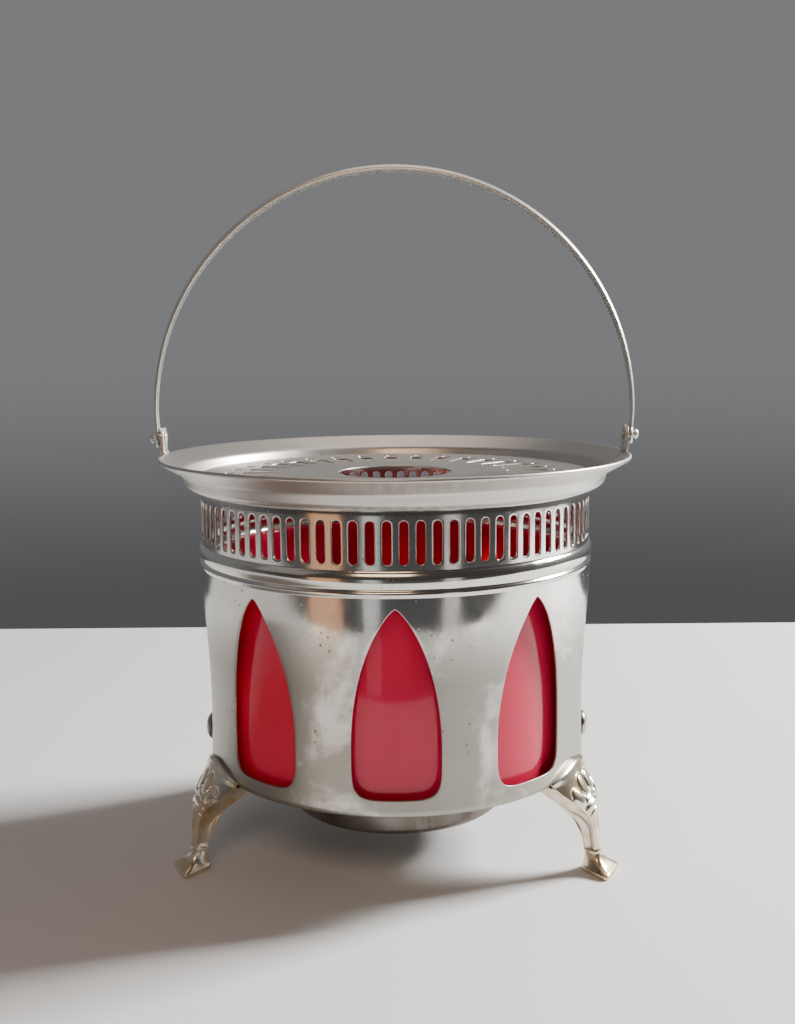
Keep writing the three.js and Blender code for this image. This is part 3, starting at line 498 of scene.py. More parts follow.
@dataclass(frozen=True)
class SilverFinish:
    """Polished plate with cloudy tarnish, small pits, hairlines and a slight waviness. The colour
    also carries painted shade: darker towards the foot of the drum, and darker on the rim and
    the plate, but not on the handle.

    Heights are in metres and the relief in millimetres. In a pair of heights or noise
    values a zone starts at the first and is full at the second.
    """

    name: str = "silver_plate"
    bright: Colour = rgba(0.84, 0.82, 0.77)
    # Tarnish colour, also the colour of the painted shade low on the drum.
    tarnish_and_shade: Colour = rgba(0.28, 0.268, 0.232)
    # Painted shade colour for the rim and the plate.
    rim_painted_shade: Colour = rgba(0.52, 0.495, 0.465)
    pit: Colour = rgba(0.20, 0.16, 0.11)
    roughness: float = 0.06
    clouds_per_metre: float = 34.0
    cloud_cover: Pair = (0.37, 0.60)
    cloud_roughness: float = 0.26
    # Heights over which the tarnish and the painted shade low on the drum fade in.
    tarnish_and_shade_top: Pair = (0.092, 0.066)
    rim_from: Pair = (0.1165, 0.1185)
    rim_satin: float = 0.215
    handle_from: Pair = (0.1285, 0.136)
    handle_satin: float = 0.03
    pits: Triple = (310.0, 0.10, 0.05)
    pit_zones: Pair = (0.50, 0.62)
    specks: Triple = (900.0, 0.12, 0.05)
    speck_zones: Pair = (0.48, 0.66)
    hairs_per_metre: float = 900.0
    hair_stretch: Triple = (1.0, 1.0, 0.06)
    wave_mm: float = 0.35
    fine_mm: float = 0.012

    def marks(self, paint: Paint) -> Wire:
        """Pits and finer specks, each in zones of their own, 1 inside a mark."""
        pits = paint.spots(*self.pits) * paint.noise(60.0, 2.0).within(*self.pit_zones)
        specks = paint.spots(*self.specks) * paint.noise(95.0, 2.0).within(*self.speck_zones)
        return (pits + specks * 0.6).math("MINIMUM", 1.0)

    def material(self) -> bpy.types.Material:
        """The finish as a node material."""
        paint = material_paint(self.name)
        large = paint.noise(self.clouds_per_metre, 4.0, 0.55, 0.6)
        small = paint.noise(self.clouds_per_metre * 7, 3.0, 0.6)
        height = paint.node("ShaderNodeSeparateXYZ", {}, {0: paint.place}, "Z")
        below = height.within(*self.tarnish_and_shade_top) * 0.75 + 0.25
        handle = height.within(*self.handle_from)
        above = height.within(*self.rim_from)
        cloud = (large + small * 0.22).within(*self.cloud_cover) * below
        marks = self.marks(paint) * (above * -0.9 + 1.0)
        hairs = paint.noise(self.hairs_per_metre, 2.0, 0.5, 0.0, self.hair_stretch)
        # Painted shade in part: the clouds are tarnish, and below also darkens the drum towards its
        # foot, standing in for the shaded floor that it reflects.
        toned_and_shaded = paint.mix(cloud * 0.5 + below * 0.4, self.bright, self.tarnish_and_shade)
        # Painted shade: the rim and the plate, but not the handle, are mixed three quarters of the
        # way towards a darker colour.
        base = paint.mix((above - handle) * 0.75, toned_and_shaded, self.rim_painted_shade)
        colour = paint.mix(marks * 0.75, base, self.pit)
        satin = above * self.rim_satin + handle * self.handle_satin
        rough = cloud * self.cloud_roughness + marks * 0.25 + hairs * 0.05 + satin + self.roughness
        wave = paint.relief(paint.noise(26.0, 2.0, 0.45), self.wave_mm)
        fine = paint.relief(hairs * (above * -0.44 + 0.5) - marks, self.fine_mm, wave)
        return paint.principled(Base_Color=colour, Roughness=rough, Metallic=1.0, Normal=fine,
                                IOR=1.5)


@dataclass(frozen=True)
class CastFinish:
    """Cast metal under rubbed plate: warm on the high places, dark in the hollows."""

    name: str = "cast_plate"
    bright: Colour = rgba(0.78, 0.72, 0.60)
    warm: Colour = rgba(0.66, 0.49, 0.28)
    hollow: Colour = rgba(0.13, 0.095, 0.06)
    warm_zones: Pair = (0.40, 0.66)
    hollow_zones: Pair = (0.485, 0.40)
    roughness: float = 0.16
    skin_mm: float = 0.05
    grain_mm: float = 0.008

    def material(self) -> bpy.types.Material:
        """The finish as a node material; the hollows are found by the mesh's pointiness."""
        paint = material_paint(self.name)
        patches = paint.noise(90.0, 4.0, 0.6, 0.5)
        pointed = paint.node("ShaderNodeNewGeometry", {}, {}, "Pointiness")
        dark = pointed.within(*self.hollow_zones)
        base = paint.mix(patches.within(*self.warm_zones), self.bright, self.warm)
        colour = paint.mix(dark * 0.8, base, self.hollow)
        grain = paint.noise(1400.0, 3.0, 0.6)
        rough = patches * 0.14 + dark * 0.3 + self.roughness
        skin = paint.relief(paint.noise(260.0, 3.0, 0.6), self.skin_mm)
        fine = paint.relief(grain, self.grain_mm, skin)
        return paint.principled(Base_Color=colour, Roughness=rough, Metallic=1.0, Normal=fine)


@dataclass(frozen=True)
class PanFinish:
    """Duller plate with heat tones for the floor and the well. Both colours are darkened as
    painted shade, for the shade it lies in under the drum.
    """

    name: str = "pan_plate"
    # Painted shade: both plate colours are kept dark for the shade under the drum.
    bright: Colour = rgba(0.22, 0.21, 0.195)
    toned_and_shaded: Colour = rgba(0.13, 0.11, 0.09)
    mark: Colour = rgba(0.1, 0.08, 0.06)
    tone_zones: Pair = (0.42, 0.68)
    spots: Triple = (420.0, 0.13, 0.06)
    spot_zones: Pair = (0.48, 0.6)
    roughness: float = 0.2
    wave_mm: float = 0.3

    def material(self) -> bpy.types.Material:
        """The finish as a node material."""
        paint = material_paint(self.name)
        tone = paint.noise(38.0, 4.0, 0.6, 0.4)
        marks = paint.spots(*self.spots) * paint.noise(70.0).within(*self.spot_zones)
        # The heat tones vary at random between two colours that both carry painted shade.
        base = paint.mix(tone.within(*self.tone_zones), self.bright, self.toned_and_shaded)
        colour = paint.mix(marks * 0.6, base, self.mark)
        rough = tone * 0.2 + marks * 0.2 + self.roughness
        normal = paint.relief(paint.noise(45.0, 2.0), self.wave_mm)
        return paint.principled(Base_Color=colour, Roughness=rough, Metallic=1.0, Normal=normal)


@dataclass(frozen=True)
class RubyFinish:
    """Saturated red glass with slight streaks, smudges and a waxy bloom inside."""

    name: str = "red_glass"
    red: Colour = rgba(0.86, 0.028, 0.105)
    deep: Colour = rgba(0.64, 0.014, 0.060)
    streak_zones: Pair = (0.35, 0.7)
    smudge_zones: Pair = (0.45, 0.75)
    roughness: float = 0.05
    wave_mm: float = 0.25
    bleed_m: Triple = (0.012, 0.002, 0.003)

    def material(self) -> bpy.types.Material:
        """The finish as a node material."""
        paint = material_paint(self.name)
        streak = paint.noise(28.0, 3.0, 0.5, 0.3, (1.0, 1.0, 0.35))
        smudge = paint.noise(75.0, 4.0, 0.6, 0.8)
        colour = paint.mix(streak.within(*self.streak_zones) * 0.55, self.red, self.deep)
        rough = smudge.within(*self.smudge_zones) * 0.10 + self.roughness
        normal = paint.relief(paint.noise(22.0, 2.0), self.wave_mm)
        return paint.principled(Base_Color=colour, Roughness=rough, Normal=normal, IOR=1.5,
                                Specular_IOR_Level=0.3, Transmission_Weight=0.25,
                                Coat_Weight=0.12, Coat_Roughness=0.03,
                                Subsurface_Weight=0.5, Subsurface_Scale=1.0,
                                Subsurface_Radius=self.bleed_m)


@dataclass(frozen=True)
class FoilFinish:
    """Thin pressed aluminium with fine drawing lines."""

    name: str = "foil"
    light: Colour = rgba(0.74, 0.75, 0.77)
    dark: Colour = rgba(0.60, 0.61, 0.63)
    roughness: float = 0.22
    line_mm: float = 0.02

    def material(self) -> bpy.types.Material:
        """The finish as a node material."""
        paint = material_paint(self.name)
        lines = paint.noise(700.0, 2.0, 0.5, 0.0, (1.0, 1.0, 0.08))
        tone = paint.noise(80.0, 3.0)
        colour = paint.mix(tone, self.light, self.dark)
        normal = paint.relief(lines, self.line_mm)
        rough = tone * 0.15 + self.roughness
        return paint.principled(Base_Color=colour, Roughness=rough, Metallic=1.0, Normal=normal)


@dataclass(frozen=True)
class WaxFinish:
    """Paraffin wax: cloudy white with a soft sheen."""

    name: str = "wax"
    light: Colour = rgba(0.90, 0.87, 0.80)
    dark: Colour = rgba(0.80, 0.76, 0.68)
    roughness: float = 0.4
    bump_mm: float = 0.05
    bleed_m: Triple = (0.004, 0.003, 0.002)

    def material(self) -> bpy.types.Material:
        """The finish as a node material."""
        paint = material_paint(self.name)
        cloud = paint.noise(120.0, 4.0, 0.55)
        colour = paint.mix(cloud, self.light, self.dark)
        normal = paint.relief(paint.noise(300.0, 3.0), self.bump_mm)
        rough = cloud * 0.15 + self.roughness
        return paint.principled(Base_Color=colour, Roughness=rough, Normal=normal,
                                Subsurface_Weight=0.3, Subsurface_Radius=self.bleed_m)


@dataclass(frozen=True)
class CottonFinish:
    """Waxed cotton wick with its braid."""

    name: str = "cotton"
    light: Colour = rgba(0.82, 0.78, 0.68)
    dark: Colour = rgba(0.62, 0.57, 0.47)
    braids_per_metre: float = 700.0
    roughness: float = 0.8
    braid_mm: float = 0.08

    def material(self) -> bpy.types.Material:
        """The finish as a node material."""
        paint = material_paint(self.name)
        inputs = {"Vector": paint.place, "Scale": self.braids_per_metre, "Distortion": 2.0}
        braid = paint.node("ShaderNodeTexWave", {"bands_direction": "DIAGONAL"}, inputs, "Fac")
        colour = paint.mix(braid, self.light, self.dark)
        normal = paint.relief(braid, self.braid_mm)
        rough = braid * 0.1 + self.roughness
        return paint.principled(Base_Color=colour, Roughness=rough, Normal=normal)


class Slot(Enum):
    """The record's material slots, each with its finish."""

    SILVER = SilverFinish()
    CAST = CastFinish()
    PAN = PanFinish()
    RUBY = RubyFinish()
    FOIL = FoilFinish()
    WAX = WaxFinish()
    COTTON = CottonFinish()


class Workshop:
    """Turns skins into dressed pieces that ride on their bodies."""

    def __init__(self) -> None:
        """Starts with no materials."""
        self._materials: dict[Slot, bpy.types.Material] = {}

    def finish(self, slot: Slot) -> bpy.types.Material:
        """The material of a slot, made once."""
        if slot not in self._materials:
            self._materials[slot] = slot.value.material()
        return self._materials[slot]

    def piece(self, skin: Skin, slot: Slot, body: str, node: str, sharp_deg: float) -> None:
        """Makes the piece that stands for a CAD node.

        Args:
            skin: The piece's surface.
            slot: Its material slot.
            body: The body it rides on.
            node: The CAD node that it replaces.
            sharp_deg: Edges that turn by more than this stay sharp.
        """
        mesh = skin.mesh(sharp_deg)
        mesh.materials.append(self.finish(slot))
        piece = bpy.data.objects.new(skin.name, mesh)
        bpy.context.scene.collection.objects.link(piece)
        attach(piece, body)
        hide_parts(node)
        LOG.info("%s: %d faces", skin.name, len(mesh.polygons))


# Sub-assemblies


@dataclass
class Drum:
    """Pierced shell: gallery of slots, two beads, six pointed windows and an inturned floor
    flange.

    A bead is (bottom, top, rise), the waist (lowest height, highest height, radius), and
    the window's heights are those of its sill, its widest place and its tip.
    """

    sheet: float = 0.7
    rim: float = 0.16
    slots: int = 84
    slot_turn: float = 0.2
    cells: int = 5
    slot_rows: int = 7
    slot_corner_deg: float = 72.0
    slot_width: float = 2.55
    slot_span: Pair = (102.3, 114.6)
    gallery: Pair = (101.2, 115.35)
    top_radius: float = 62.1
    top_z: float = 118.1
    main_bead: Triple = (95.5, 100.6, 1.0)
    small_bead: Triple = (93.5, 95.3, 0.5)
    body_top: Pair = (85.0, 62.45)
    waist: Triple = (43.0, 52.0, 60.7)
    body_foot: Pair = (31.0, 61.15)
    foot: Pair = (29.7, 60.9)
    flange_inner: float = 48.5
    window_azimuths: tuple[float, ...] = (0.0, 40.7, 139.3, 180.0, 220.7, 319.3)
    window_half: float = 12.8
    window_heights: Triple = (34.8, 49.0, 90.2)
    arch_power: float = 0.765
    corner_power: float = 5.0
    panel: Pair = (32.7, 92.4)
    panel_half_deg: float = 17.5
    panel_rows: int = 36
    sill_corner: float = 1.4
    head_share: float = 0.16

    @property
    def columns(self) -> int:
        """Columns round the drum."""
        return self.slots * self.cells

    @property
    def pitch_deg(self) -> float:
        """Azimuth from one column to the next."""
        return 360.0 / self.columns

    def radius(self, z: Array) -> Array:
        """Outer radius at a height: straight at the top, two half-sine beads, a body that
        narrows as (1 - t)^1.5 to its waist and swells as t^2 to its foot."""
        foot_z, foot_r = self.body_foot
        low, high, waist_r = self.waist
        top_z, top_r = self.body_top
        narrow = np.clip((top_z - z) / (top_z - high), 0, 1)
        swell = np.clip((low - z) / (low - foot_z), 0, 1)
        body = waist_r + (top_r - waist_r) * (1 - narrow) ** 1.5 + (foot_r - waist_r) * swell**2
        mix = smooth_step(self.main_bead[0] - 0.2, self.main_bead[0] + 0.4, z)
        base = body * (1 - mix) + self.top_radius * mix
        for bottom, top, rise in (self.main_bead, self.small_bead):
            part = np.clip((z - bottom) / (top - bottom), 0, 1)
            base = base + rise * np.sin(np.pi * part) ** 0.7
        return base

    def point(self, column: Array, z: Array, depth: Array) -> Array:
        """Position at a column, height and depth under the outer face."""
        return turned(self.slot_turn + column * self.pitch_deg, self.radius(z) - depth, z)

    def tile_points(self, tile: Array, scale: float) -> Array:
        """A pierced tile, in columns times a scale across and millimetres up, on the drum."""
        return self.point(tile[..., 0] / scale, tile[..., 1], tile[..., 2])

    def column_width(self) -> float:
        """Width of one column, measured round the drum."""
        return math.radians(self.pitch_deg) * self.top_radius

    def gallery_tiles(self, skin: Skin) -> None:
        """Adds a tile for each slot: a straight-sided slot with round ends."""
        width = self.column_width()
        half = self.slot_width / 2
        low, high = self.slot_span
        turn = np.linspace(np.pi / 2, -np.pi / 2, 41)
        arc = beside(half * np.sin(turn), high - half + half * np.cos(turn))[::-1]
        foot = beside(-arc[:, 0], low + half - (arc[:, 1] - high + half))
        outline = np.concatenate([arc, foot])
        xs = (np.arange(self.cells + 1) - self.cells / 2) * width
        ys = np.linspace(*self.gallery, self.slot_rows + 1)
        border = box_border(xs, ys)
        n, across, down = len(border), self.cells, self.slot_rows
        length = 2 * math.pi * half + 2 * (high - low - 2 * half)
        corner = math.radians(self.slot_corner_deg) * half * 2 / length / 2
        start = math.pi * half / length / 2
        anchors = [(0, start - corner), (across, start + corner),
                   (across + down, 0.5 + start - corner),
                   (2 * across + down, 0.5 + start + corner), (n, 1 + (start - corner))]
        hole = match_outline(outline, anchors, n)
        tile = pierced_tile(border, hole, 2, self.rim, self.sheet)
        for i in range(self.slots):
            shifted = tile.copy()
            shifted[..., 0] += (i + 0.5) * self.cells * width
            skin.grid(self.tile_points(shifted, width), wrap_columns=True)

    def window_outline(self) -> Array:
        """Dense outline of a window, clockwise from its tip: half-width W (1 - s^2)^0.765
        above the widest height and W (1 - s^5)^(1/5) below it."""
        sill, widest, tip = self.window_heights
        s = np.sin(np.linspace(np.pi / 2, 0, 80))
        arch = beside(self.window_half * (1 - s * s) ** self.arch_power,
                      widest + (tip - widest) * s)
        turn = np.linspace(np.pi / 2, 0, 60)[1:]
        power = 2 / self.corner_power
        corner = beside(self.window_half * np.sin(turn) ** power,
                        widest - (widest - sill) * np.cos(turn) ** power)
        right = np.concatenate([arch, corner])
        left = right[::-1] * (-1, 1)
        return np.concatenate([right, left[1:-1]])

    def window_tile(self, skin: Skin, azimuth: float) -> tuple[int, int]:
        """Adds the tile round one window.

        Args:
            skin: The drum's surface.
            azimuth: Where the window looks.

        Returns:
            The tile's first and last column.
        """
        width = self.column_width()
        centre = (azimuth - self.slot_turn) / self.pitch_deg
        first = round(centre - self.panel_half_deg / self.pitch_deg)
        last = round(centre + self.panel_half_deg / self.pitch_deg)
        xs = np.arange(first, last + 1) * width
        ys = np.linspace(*self.panel, self.panel_rows + 1)
        border = box_border(xs, ys)
        n, across, down = len(border), last - first, self.panel_rows
        outline = self.window_outline()
        corner_z = self.window_heights[0] + self.sill_corner
        to_corner = np.abs(outline[:, 1] - corner_z) + 99 * (outline[:, 0] < 0)
        corner = shares(outline)[np.argmin(to_corner)]
        tip, head = round(centre) - first, self.head_share
        anchors = [(tip, 0.0), (across, head), (across + down, corner),
                   (2 * across + down - tip, 0.5), (2 * across + down, 1 - corner),
                   (2 * across + 2 * down, 1 - head), (n + tip, 1.0)]
        hole = match_outline(outline, anchors, n)
        lean = math.radians(self.pitch_deg) / width
        hole[:, 0] = np.arcsin(hole[:, 0] / self.waist[2]) / lean + centre * width
        tile = pierced_tile(border, hole, 9, self.rim, self.sheet)
        skin.grid(self.tile_points(tile, width), wrap_columns=True)
        return first, last

    def plain(self, skin: Skin, first: int, last: int, heights: Array) -> None:
        """Adds both faces of the sheet.

        Args:
            skin: The drum's surface.
            first: First column.
            last: Last column.
            heights: Heights of the rows.
        """
        columns = np.arange(first, last + 1)[None, :]
        for depth in (0.0, self.sheet):
            skin.grid(self.point(columns, heights[:, None], np.full((1, 1), depth)))

    def build(self, shop: Workshop) -> None:
        """Builds and dresses the drum."""
        skin = Skin("drum")
        self.gallery_tiles(skin)
        edges = sorted(self.window_tile(skin, azimuth) for azimuth in self.window_azimuths)
        rows = np.linspace(*self.panel, self.panel_rows + 1)
        for (_, last), (first, _) in zip(edges, edges[1:] + [(edges[0][0] + self.columns, 0)]):
            self.plain(skin, last, first, rows)
        (main_low, main_high, _), (small_low, small_high, _) = self.main_bead, self.small_bead
        steps = ((self.panel[1], small_low, 3), (small_low, small_high, 8),
                 (small_high, main_low, 2), (main_low, main_high, 16))
        bead_rows = [np.linspace(low, high, count, endpoint=False) for low, high, count in steps]
        bead_rows.append(np.linspace(main_high, self.gallery[0], 3))
        self.plain(skin, 0, self.columns, np.concatenate(bead_rows))
        start = self.slot_turn
        outer_r, under = float(self.radius(np.array(self.gallery[1]))), self.top_z - 0.25
        inner_r, shoulder = outer_r - self.sheet, self.top_z - 0.05
        top = np.array([(outer_r, self.gallery[1]), (outer_r, under), (outer_r - 0.12, shoulder),
                        (outer_r - 0.35, self.top_z), (inner_r + 0.12, shoulder),
                        (inner_r, under), (inner_r, self.gallery[1])])
        skin.grid(revolve(top, self.columns, start), wrap_columns=True)
        skin.grid(revolve(self.foot_profile(), self.columns, start), wrap_columns=True)
        shop.piece(skin, Slot.SILVER, "shell", "drum_shell", 50.0)

    def foot_profile(self) -> Array:
        """Profile from the panels' foot round the bottom edge, in along the flange and back."""
        foot_z, foot_r = self.foot
        z = np.linspace(self.panel[0], self.body_foot[0] + 0.2, 4)
        turn = np.radians(np.linspace(0, 90, 6))
        edge = beside(foot_r - 1.0 + np.cos(turn), foot_z + 1.0 - np.sin(turn))
        top, lip = foot_z + self.sheet, self.flange_inner + 0.2
        floor = [(55.0, foot_z), (lip, foot_z), (self.flange_inner, foot_z + 0.35), (lip, top),
                 (55.0, top), (foot_r - self.sheet - 0.6, top)]
        inner_z = z[::-1]
        return np.concatenate([beside(self.radius(z), z), edge, floor,
                               beside(self.radius(inner_z) - self.sheet, inner_z)])


@dataclass
class Collar:
    """Flared rim: lap over the drum, ledge, short wall and a flare with a rolled edge.

    A corner is (radius, height, rounding).
    """

    columns: int = 300
    outer: tuple[Triple, ...] = (
        (62.42, 117.05, 0.0), (63.1, 117.3, 0.3), (65.5, 118.25, 0.7), (66.7, 119.3, 0.45),
        (67.75, 122.45, 0.9))
    inner: tuple[Triple, ...] = (
        (67.35, 123.45, 1.0), (66.0, 119.7, 0.5), (64.5, 118.95, 0.6), (62.42, 117.95, 0.15))
    roll_radius: float = 0.65
    roll_centre: Pair = (74.34, 126.87)
    roll_turn: Pair = (-58.0, 122.0)

    def profile(self) -> Array:
        """Closed profile: the outer face, a full round at the edge and the inner face."""
        turn = np.radians(np.linspace(*self.roll_turn, 15))
        r, z = self.roll_centre
        roll = beside(r + self.roll_radius * np.cos(turn), z + self.roll_radius * np.sin(turn), 0.0)
        return densify(filleted([*self.outer, *roll, *self.inner], 6), 0.9)

    def build(self, shop: Workshop) -> None:
        """Builds and dresses the collar."""
        skin = Skin("collar")
        skin.grid(revolve(self.profile(), self.columns), wrap_rows=True, wrap_columns=True)
        shop.piece(skin, Slot.SILVER, "shell", "rim_collar", 50.0)


@dataclass
class TopPlate:
    """Lift-out plate: round centre hole, rays and dots, and a turned-down skirt."""

    sheet: float = 0.6
    top_z: float = 121.3
    turn_deg: float = 1.6
    rays: int = 32
    cells: int = 8
    hole_radius: float = 18.2
    ray_span: Pair = (36.5, 49.5)
    ray_widths: Pair = (1.2, 4.8)
    dot_radius: float = 1.7
    dot_circle: float = 53.2
    bands: Triple = (34.6, 51.1, 55.3)
    radius: float = 64.3
    skirt_foot: float = 119.1
    rim: float = 0.14
    hole_round: float = 0.2
    bend: float = 1.0

    def sector_border(self, low: float, high: float, rows: int) -> Array:
        """Border of one sector between two radii, clockwise, with x across and y outwards."""
        half = 180.0 / self.rays
        angles = np.radians(np.linspace(-half, half, self.cells + 1))
        radii = np.linspace(low, high, rows + 1)
        angle, radius = box_border(angles, radii).T
        return beside(radius * np.sin(angle), radius * np.cos(angle))

    def ray_outline(self) -> Array:
        """Dense outline of a wedge slot with rounded corners, clockwise from the outer end."""
        low, high = self.ray_span
        a, b = (width / 2 for width in self.ray_widths)
        corners = [(b, high, 0.8), (a, low, 0.5), (-a, low, 0.5), (-b, high, 0.8)]
        outline = densify(filleted(corners, 8), 0.15)
        off_middle = np.abs(outline[:, 0]) + (outline[:, 1] < high - 1)
        return np.roll(outline, -int(np.argmin(off_middle)), axis=0)

    def dot_outline(self) -> Array:
        """Dense circle of a dot, clockwise from its outer side."""
        turn = np.linspace(0, 2 * np.pi, 120, endpoint=False)
        return beside(self.dot_radius * np.sin(turn),
                      self.dot_circle + self.dot_radius * np.cos(turn))

    def matched(self, border: Array, outline: Array) -> Array:
        """Hole points for each border point, by direction from the hole's middle."""
        middle = (outline.max(axis=0) + outline.min(axis=0)) / 2
        size = (outline.max(axis=0) - outline.min(axis=0)) / 2
        reach = (border.max(axis=0) - border.min(axis=0)) / 2

        def heading(points: Array, scale: Array) -> Array:
            """Clockwise angle from outwards, in a frame squashed to a square."""
            relative = (points - middle) / scale
            return np.unwrap(np.arctan2(relative[:, 0], relative[:, 1]))

        on_hole = heading(outline, size)
        on_border = heading(border, reach)
        on_hole = on_hole - 2 * np.pi * np.round(on_hole[0] / (2 * np.pi))
        loop = np.concatenate([on_hole - 2 * np.pi, on_hole, on_hole + 2 * np.pi])
        points = np.concatenate([outline] * 3)
        order = np.argsort(loop)
        return beside(*(np.interp(on_border, loop[order], points[order, axis]) for axis in (0, 1)))

    def tile(self, skin: Skin, low: float, high: float, rows: int, outline: Array) -> None:
        """Adds one pierced tile in every sector.

        Args:
            skin: The plate's surface.
            low: Inner radius of the tile.
            high: Outer radius of the tile.
            rows: Steps between them.
            outline: The hole.
        """
        border = self.sector_border(low, high, rows)
        tile = pierced_tile(border, self.matched(border, outline), 3, self.rim, self.sheet)
        flat = beside(tile[..., 0], -tile[..., 1], self.top_z - tile[..., 2])
        for i in range(self.rays):
            skin.grid(spun(flat, self.turn_deg + 360.0 * i / self.rays), wrap_columns=True)

    def build(self, shop: Workshop) -> None:
        """Builds and dresses the plate."""
        skin = Skin("plate")
        ray_low, ray_high, dot_high = self.bands
        self.tile(skin, ray_low, ray_high, 12, self.ray_outline())
        self.tile(skin, ray_high, dot_high, 3, self.dot_outline())
        top, under, bend = self.top_z, self.top_z - self.sheet, self.bend
        start = self.turn_deg - 180.0 / self.rays
        columns = self.rays * self.cells
        turn = np.radians(np.linspace(0, 90, 7))
        sine, cosine = np.sin(turn), np.cos(turn)
        small, face_end = self.hole_round, self.hole_radius + 0.6
        mouth = self.hole_radius + small
        inner = np.concatenate([
            beside(np.linspace(ray_low, face_end, 8), top),
            beside(mouth - small * sine, top - small + small * cosine),
            beside(mouth - small * cosine, under + small - small * sine),
            beside(np.linspace(face_end, ray_low, 5), under)])
        skin.grid(revolve(inner, columns, start), wrap_columns=True)
        edge, foot, hollow = self.radius - bend, self.skirt_foot, bend - self.sheet
        outer_r, inner_r = self.radius, self.radius - self.sheet
        outer = np.concatenate([
            beside(np.linspace(dot_high, edge, 7), top),
            beside(edge + bend * sine, top - bend + bend * cosine),
            [(outer_r, foot + 0.2), (outer_r - 0.2, foot), (inner_r + 0.2, foot),
             (inner_r, foot + 0.2)],
            beside(edge + hollow * sine, top - bend + hollow * cosine)[::-1],
            beside(np.linspace(edge, dot_high, 4)[1:], under)])
        skin.grid(revolve(outer, columns, start), wrap_columns=True)
        shop.piece(skin, Slot.SILVER, "plate", "top_plate", 50.0)


@dataclass
class GlassLiner:
    """Open red glass cylinder with a fire-polished rim."""

    radius: float = 57.8
    wall: float = 2.5
    foot: float = 31.7
    top: float = 96.7
    rim_round: float = 1.15
    columns: int = 240

    def build(self, shop: Workshop) -> None:
        """Builds and dresses the glass."""
        inner = self.radius - self.wall
        corners = [(inner, self.foot, 0.5), (self.radius, self.foot, 0.6),
                   (self.radius, self.top, self.rim_round), (inner, self.top, self.rim_round)]
        outline = densify(filleted(corners, 8), 4.0)
        skin = Skin("glass")
        skin.grid(revolve(outline, self.columns), wrap_rows=True, wrap_columns=True)
        shop.piece(skin, Slot.RUBY, "liner", "glass_liner", 60.0)


@dataclass
class Pan:
    """Floor with a round well, a pressed ring for the tea light and two upright ears.

    The ring's groove below and its ridge above are (distance out from the ring's radius,
    rise, rounding) corners.
    """

    sheet: float = 0.7
    radius: float = 59.8
    floor: float = 31.4
    well_radius: float = 35.3
    well_foot: float = 12.9
    ring_radius: float = 20.6
    groove: tuple[Triple, ...] = (
        (-1.2, 0.0, 0.3), (-0.4, 0.7, 0.3), (0.4, 0.7, 0.3), (1.2, 0.0, 0.3))
    ridge: tuple[Triple, ...] = (
        (1.3, 0.0, 0.4), (0.5, 1.3, 0.5), (-0.2, 1.3, 0.3), (-0.6, 0.0, 0.3))
    columns: int = 240
    ear_radius: float = 59.7
    ear_half: float = 5.0
    ear_top: float = 41.0
    ear_drop: float = 2.5
    ear_lap: float = 0.4

    def build(self, shop: Workshop) -> None:
        """Builds and dresses the pan."""
        top, under = self.floor, self.floor - self.sheet
        inner, foot = self.well_radius - self.sheet, self.well_foot
        inside = foot + self.sheet
        groove = [(self.ring_radius + x, foot + y, r) for x, y, r in self.groove]
        ridge = [(self.ring_radius + x, inside + y, r) for x, y, r in self.ridge]
        corners = [
            (0.0, foot, 0), *groove, (self.well_radius, foot, 2.0),
            (self.well_radius, under, 0.8), (self.radius, under, 0.15), (self.radius, top, 0.15),
            (inner, top, 1.2), (inner, inside, 1.6), *ridge, (0.0, inside, 0)]
        outline = densify(filleted(corners, 5), 3.0)
        skin = Skin("pan")
        skin.grid(revolve(outline, self.columns), wrap_columns=True)
        for azimuth in (90.0, -90.0):
            self.ear(skin, azimuth)
        shop.piece(skin, Slot.PAN, "shell", "bottom_pan", 50.0)

    def ear(self, skin: Skin, azimuth: float) -> None:
        """Adds one ear: a closed curved strip whose top corners are round."""
        across = np.linspace(-1, 1, 21)[None, :]
        up = np.linspace(0, 1, 15)[:, None]
        lean = self.ear_half / self.ear_radius
        head = self.ear_top - self.ear_drop * np.abs(across) ** 3
        z = (self.floor - self.ear_lap) * (1 - up) + head * up
        turn = azimuth + np.degrees(lean * across)
        for radius in (self.ear_radius, self.ear_radius - self.sheet):
            skin.grid(turned(turn, np.full_like(z, radius), z))
        rims = np.stack([turned(np.broadcast_to(turn, z.shape), np.full_like(z, r), z)
                         for r in (self.ear_radius, self.ear_radius - self.sheet)])
        for edge in (rims[:, 0], rims[:, -1], rims[:, :, 0], rims[:, :, -1]):
            skin.grid(edge)


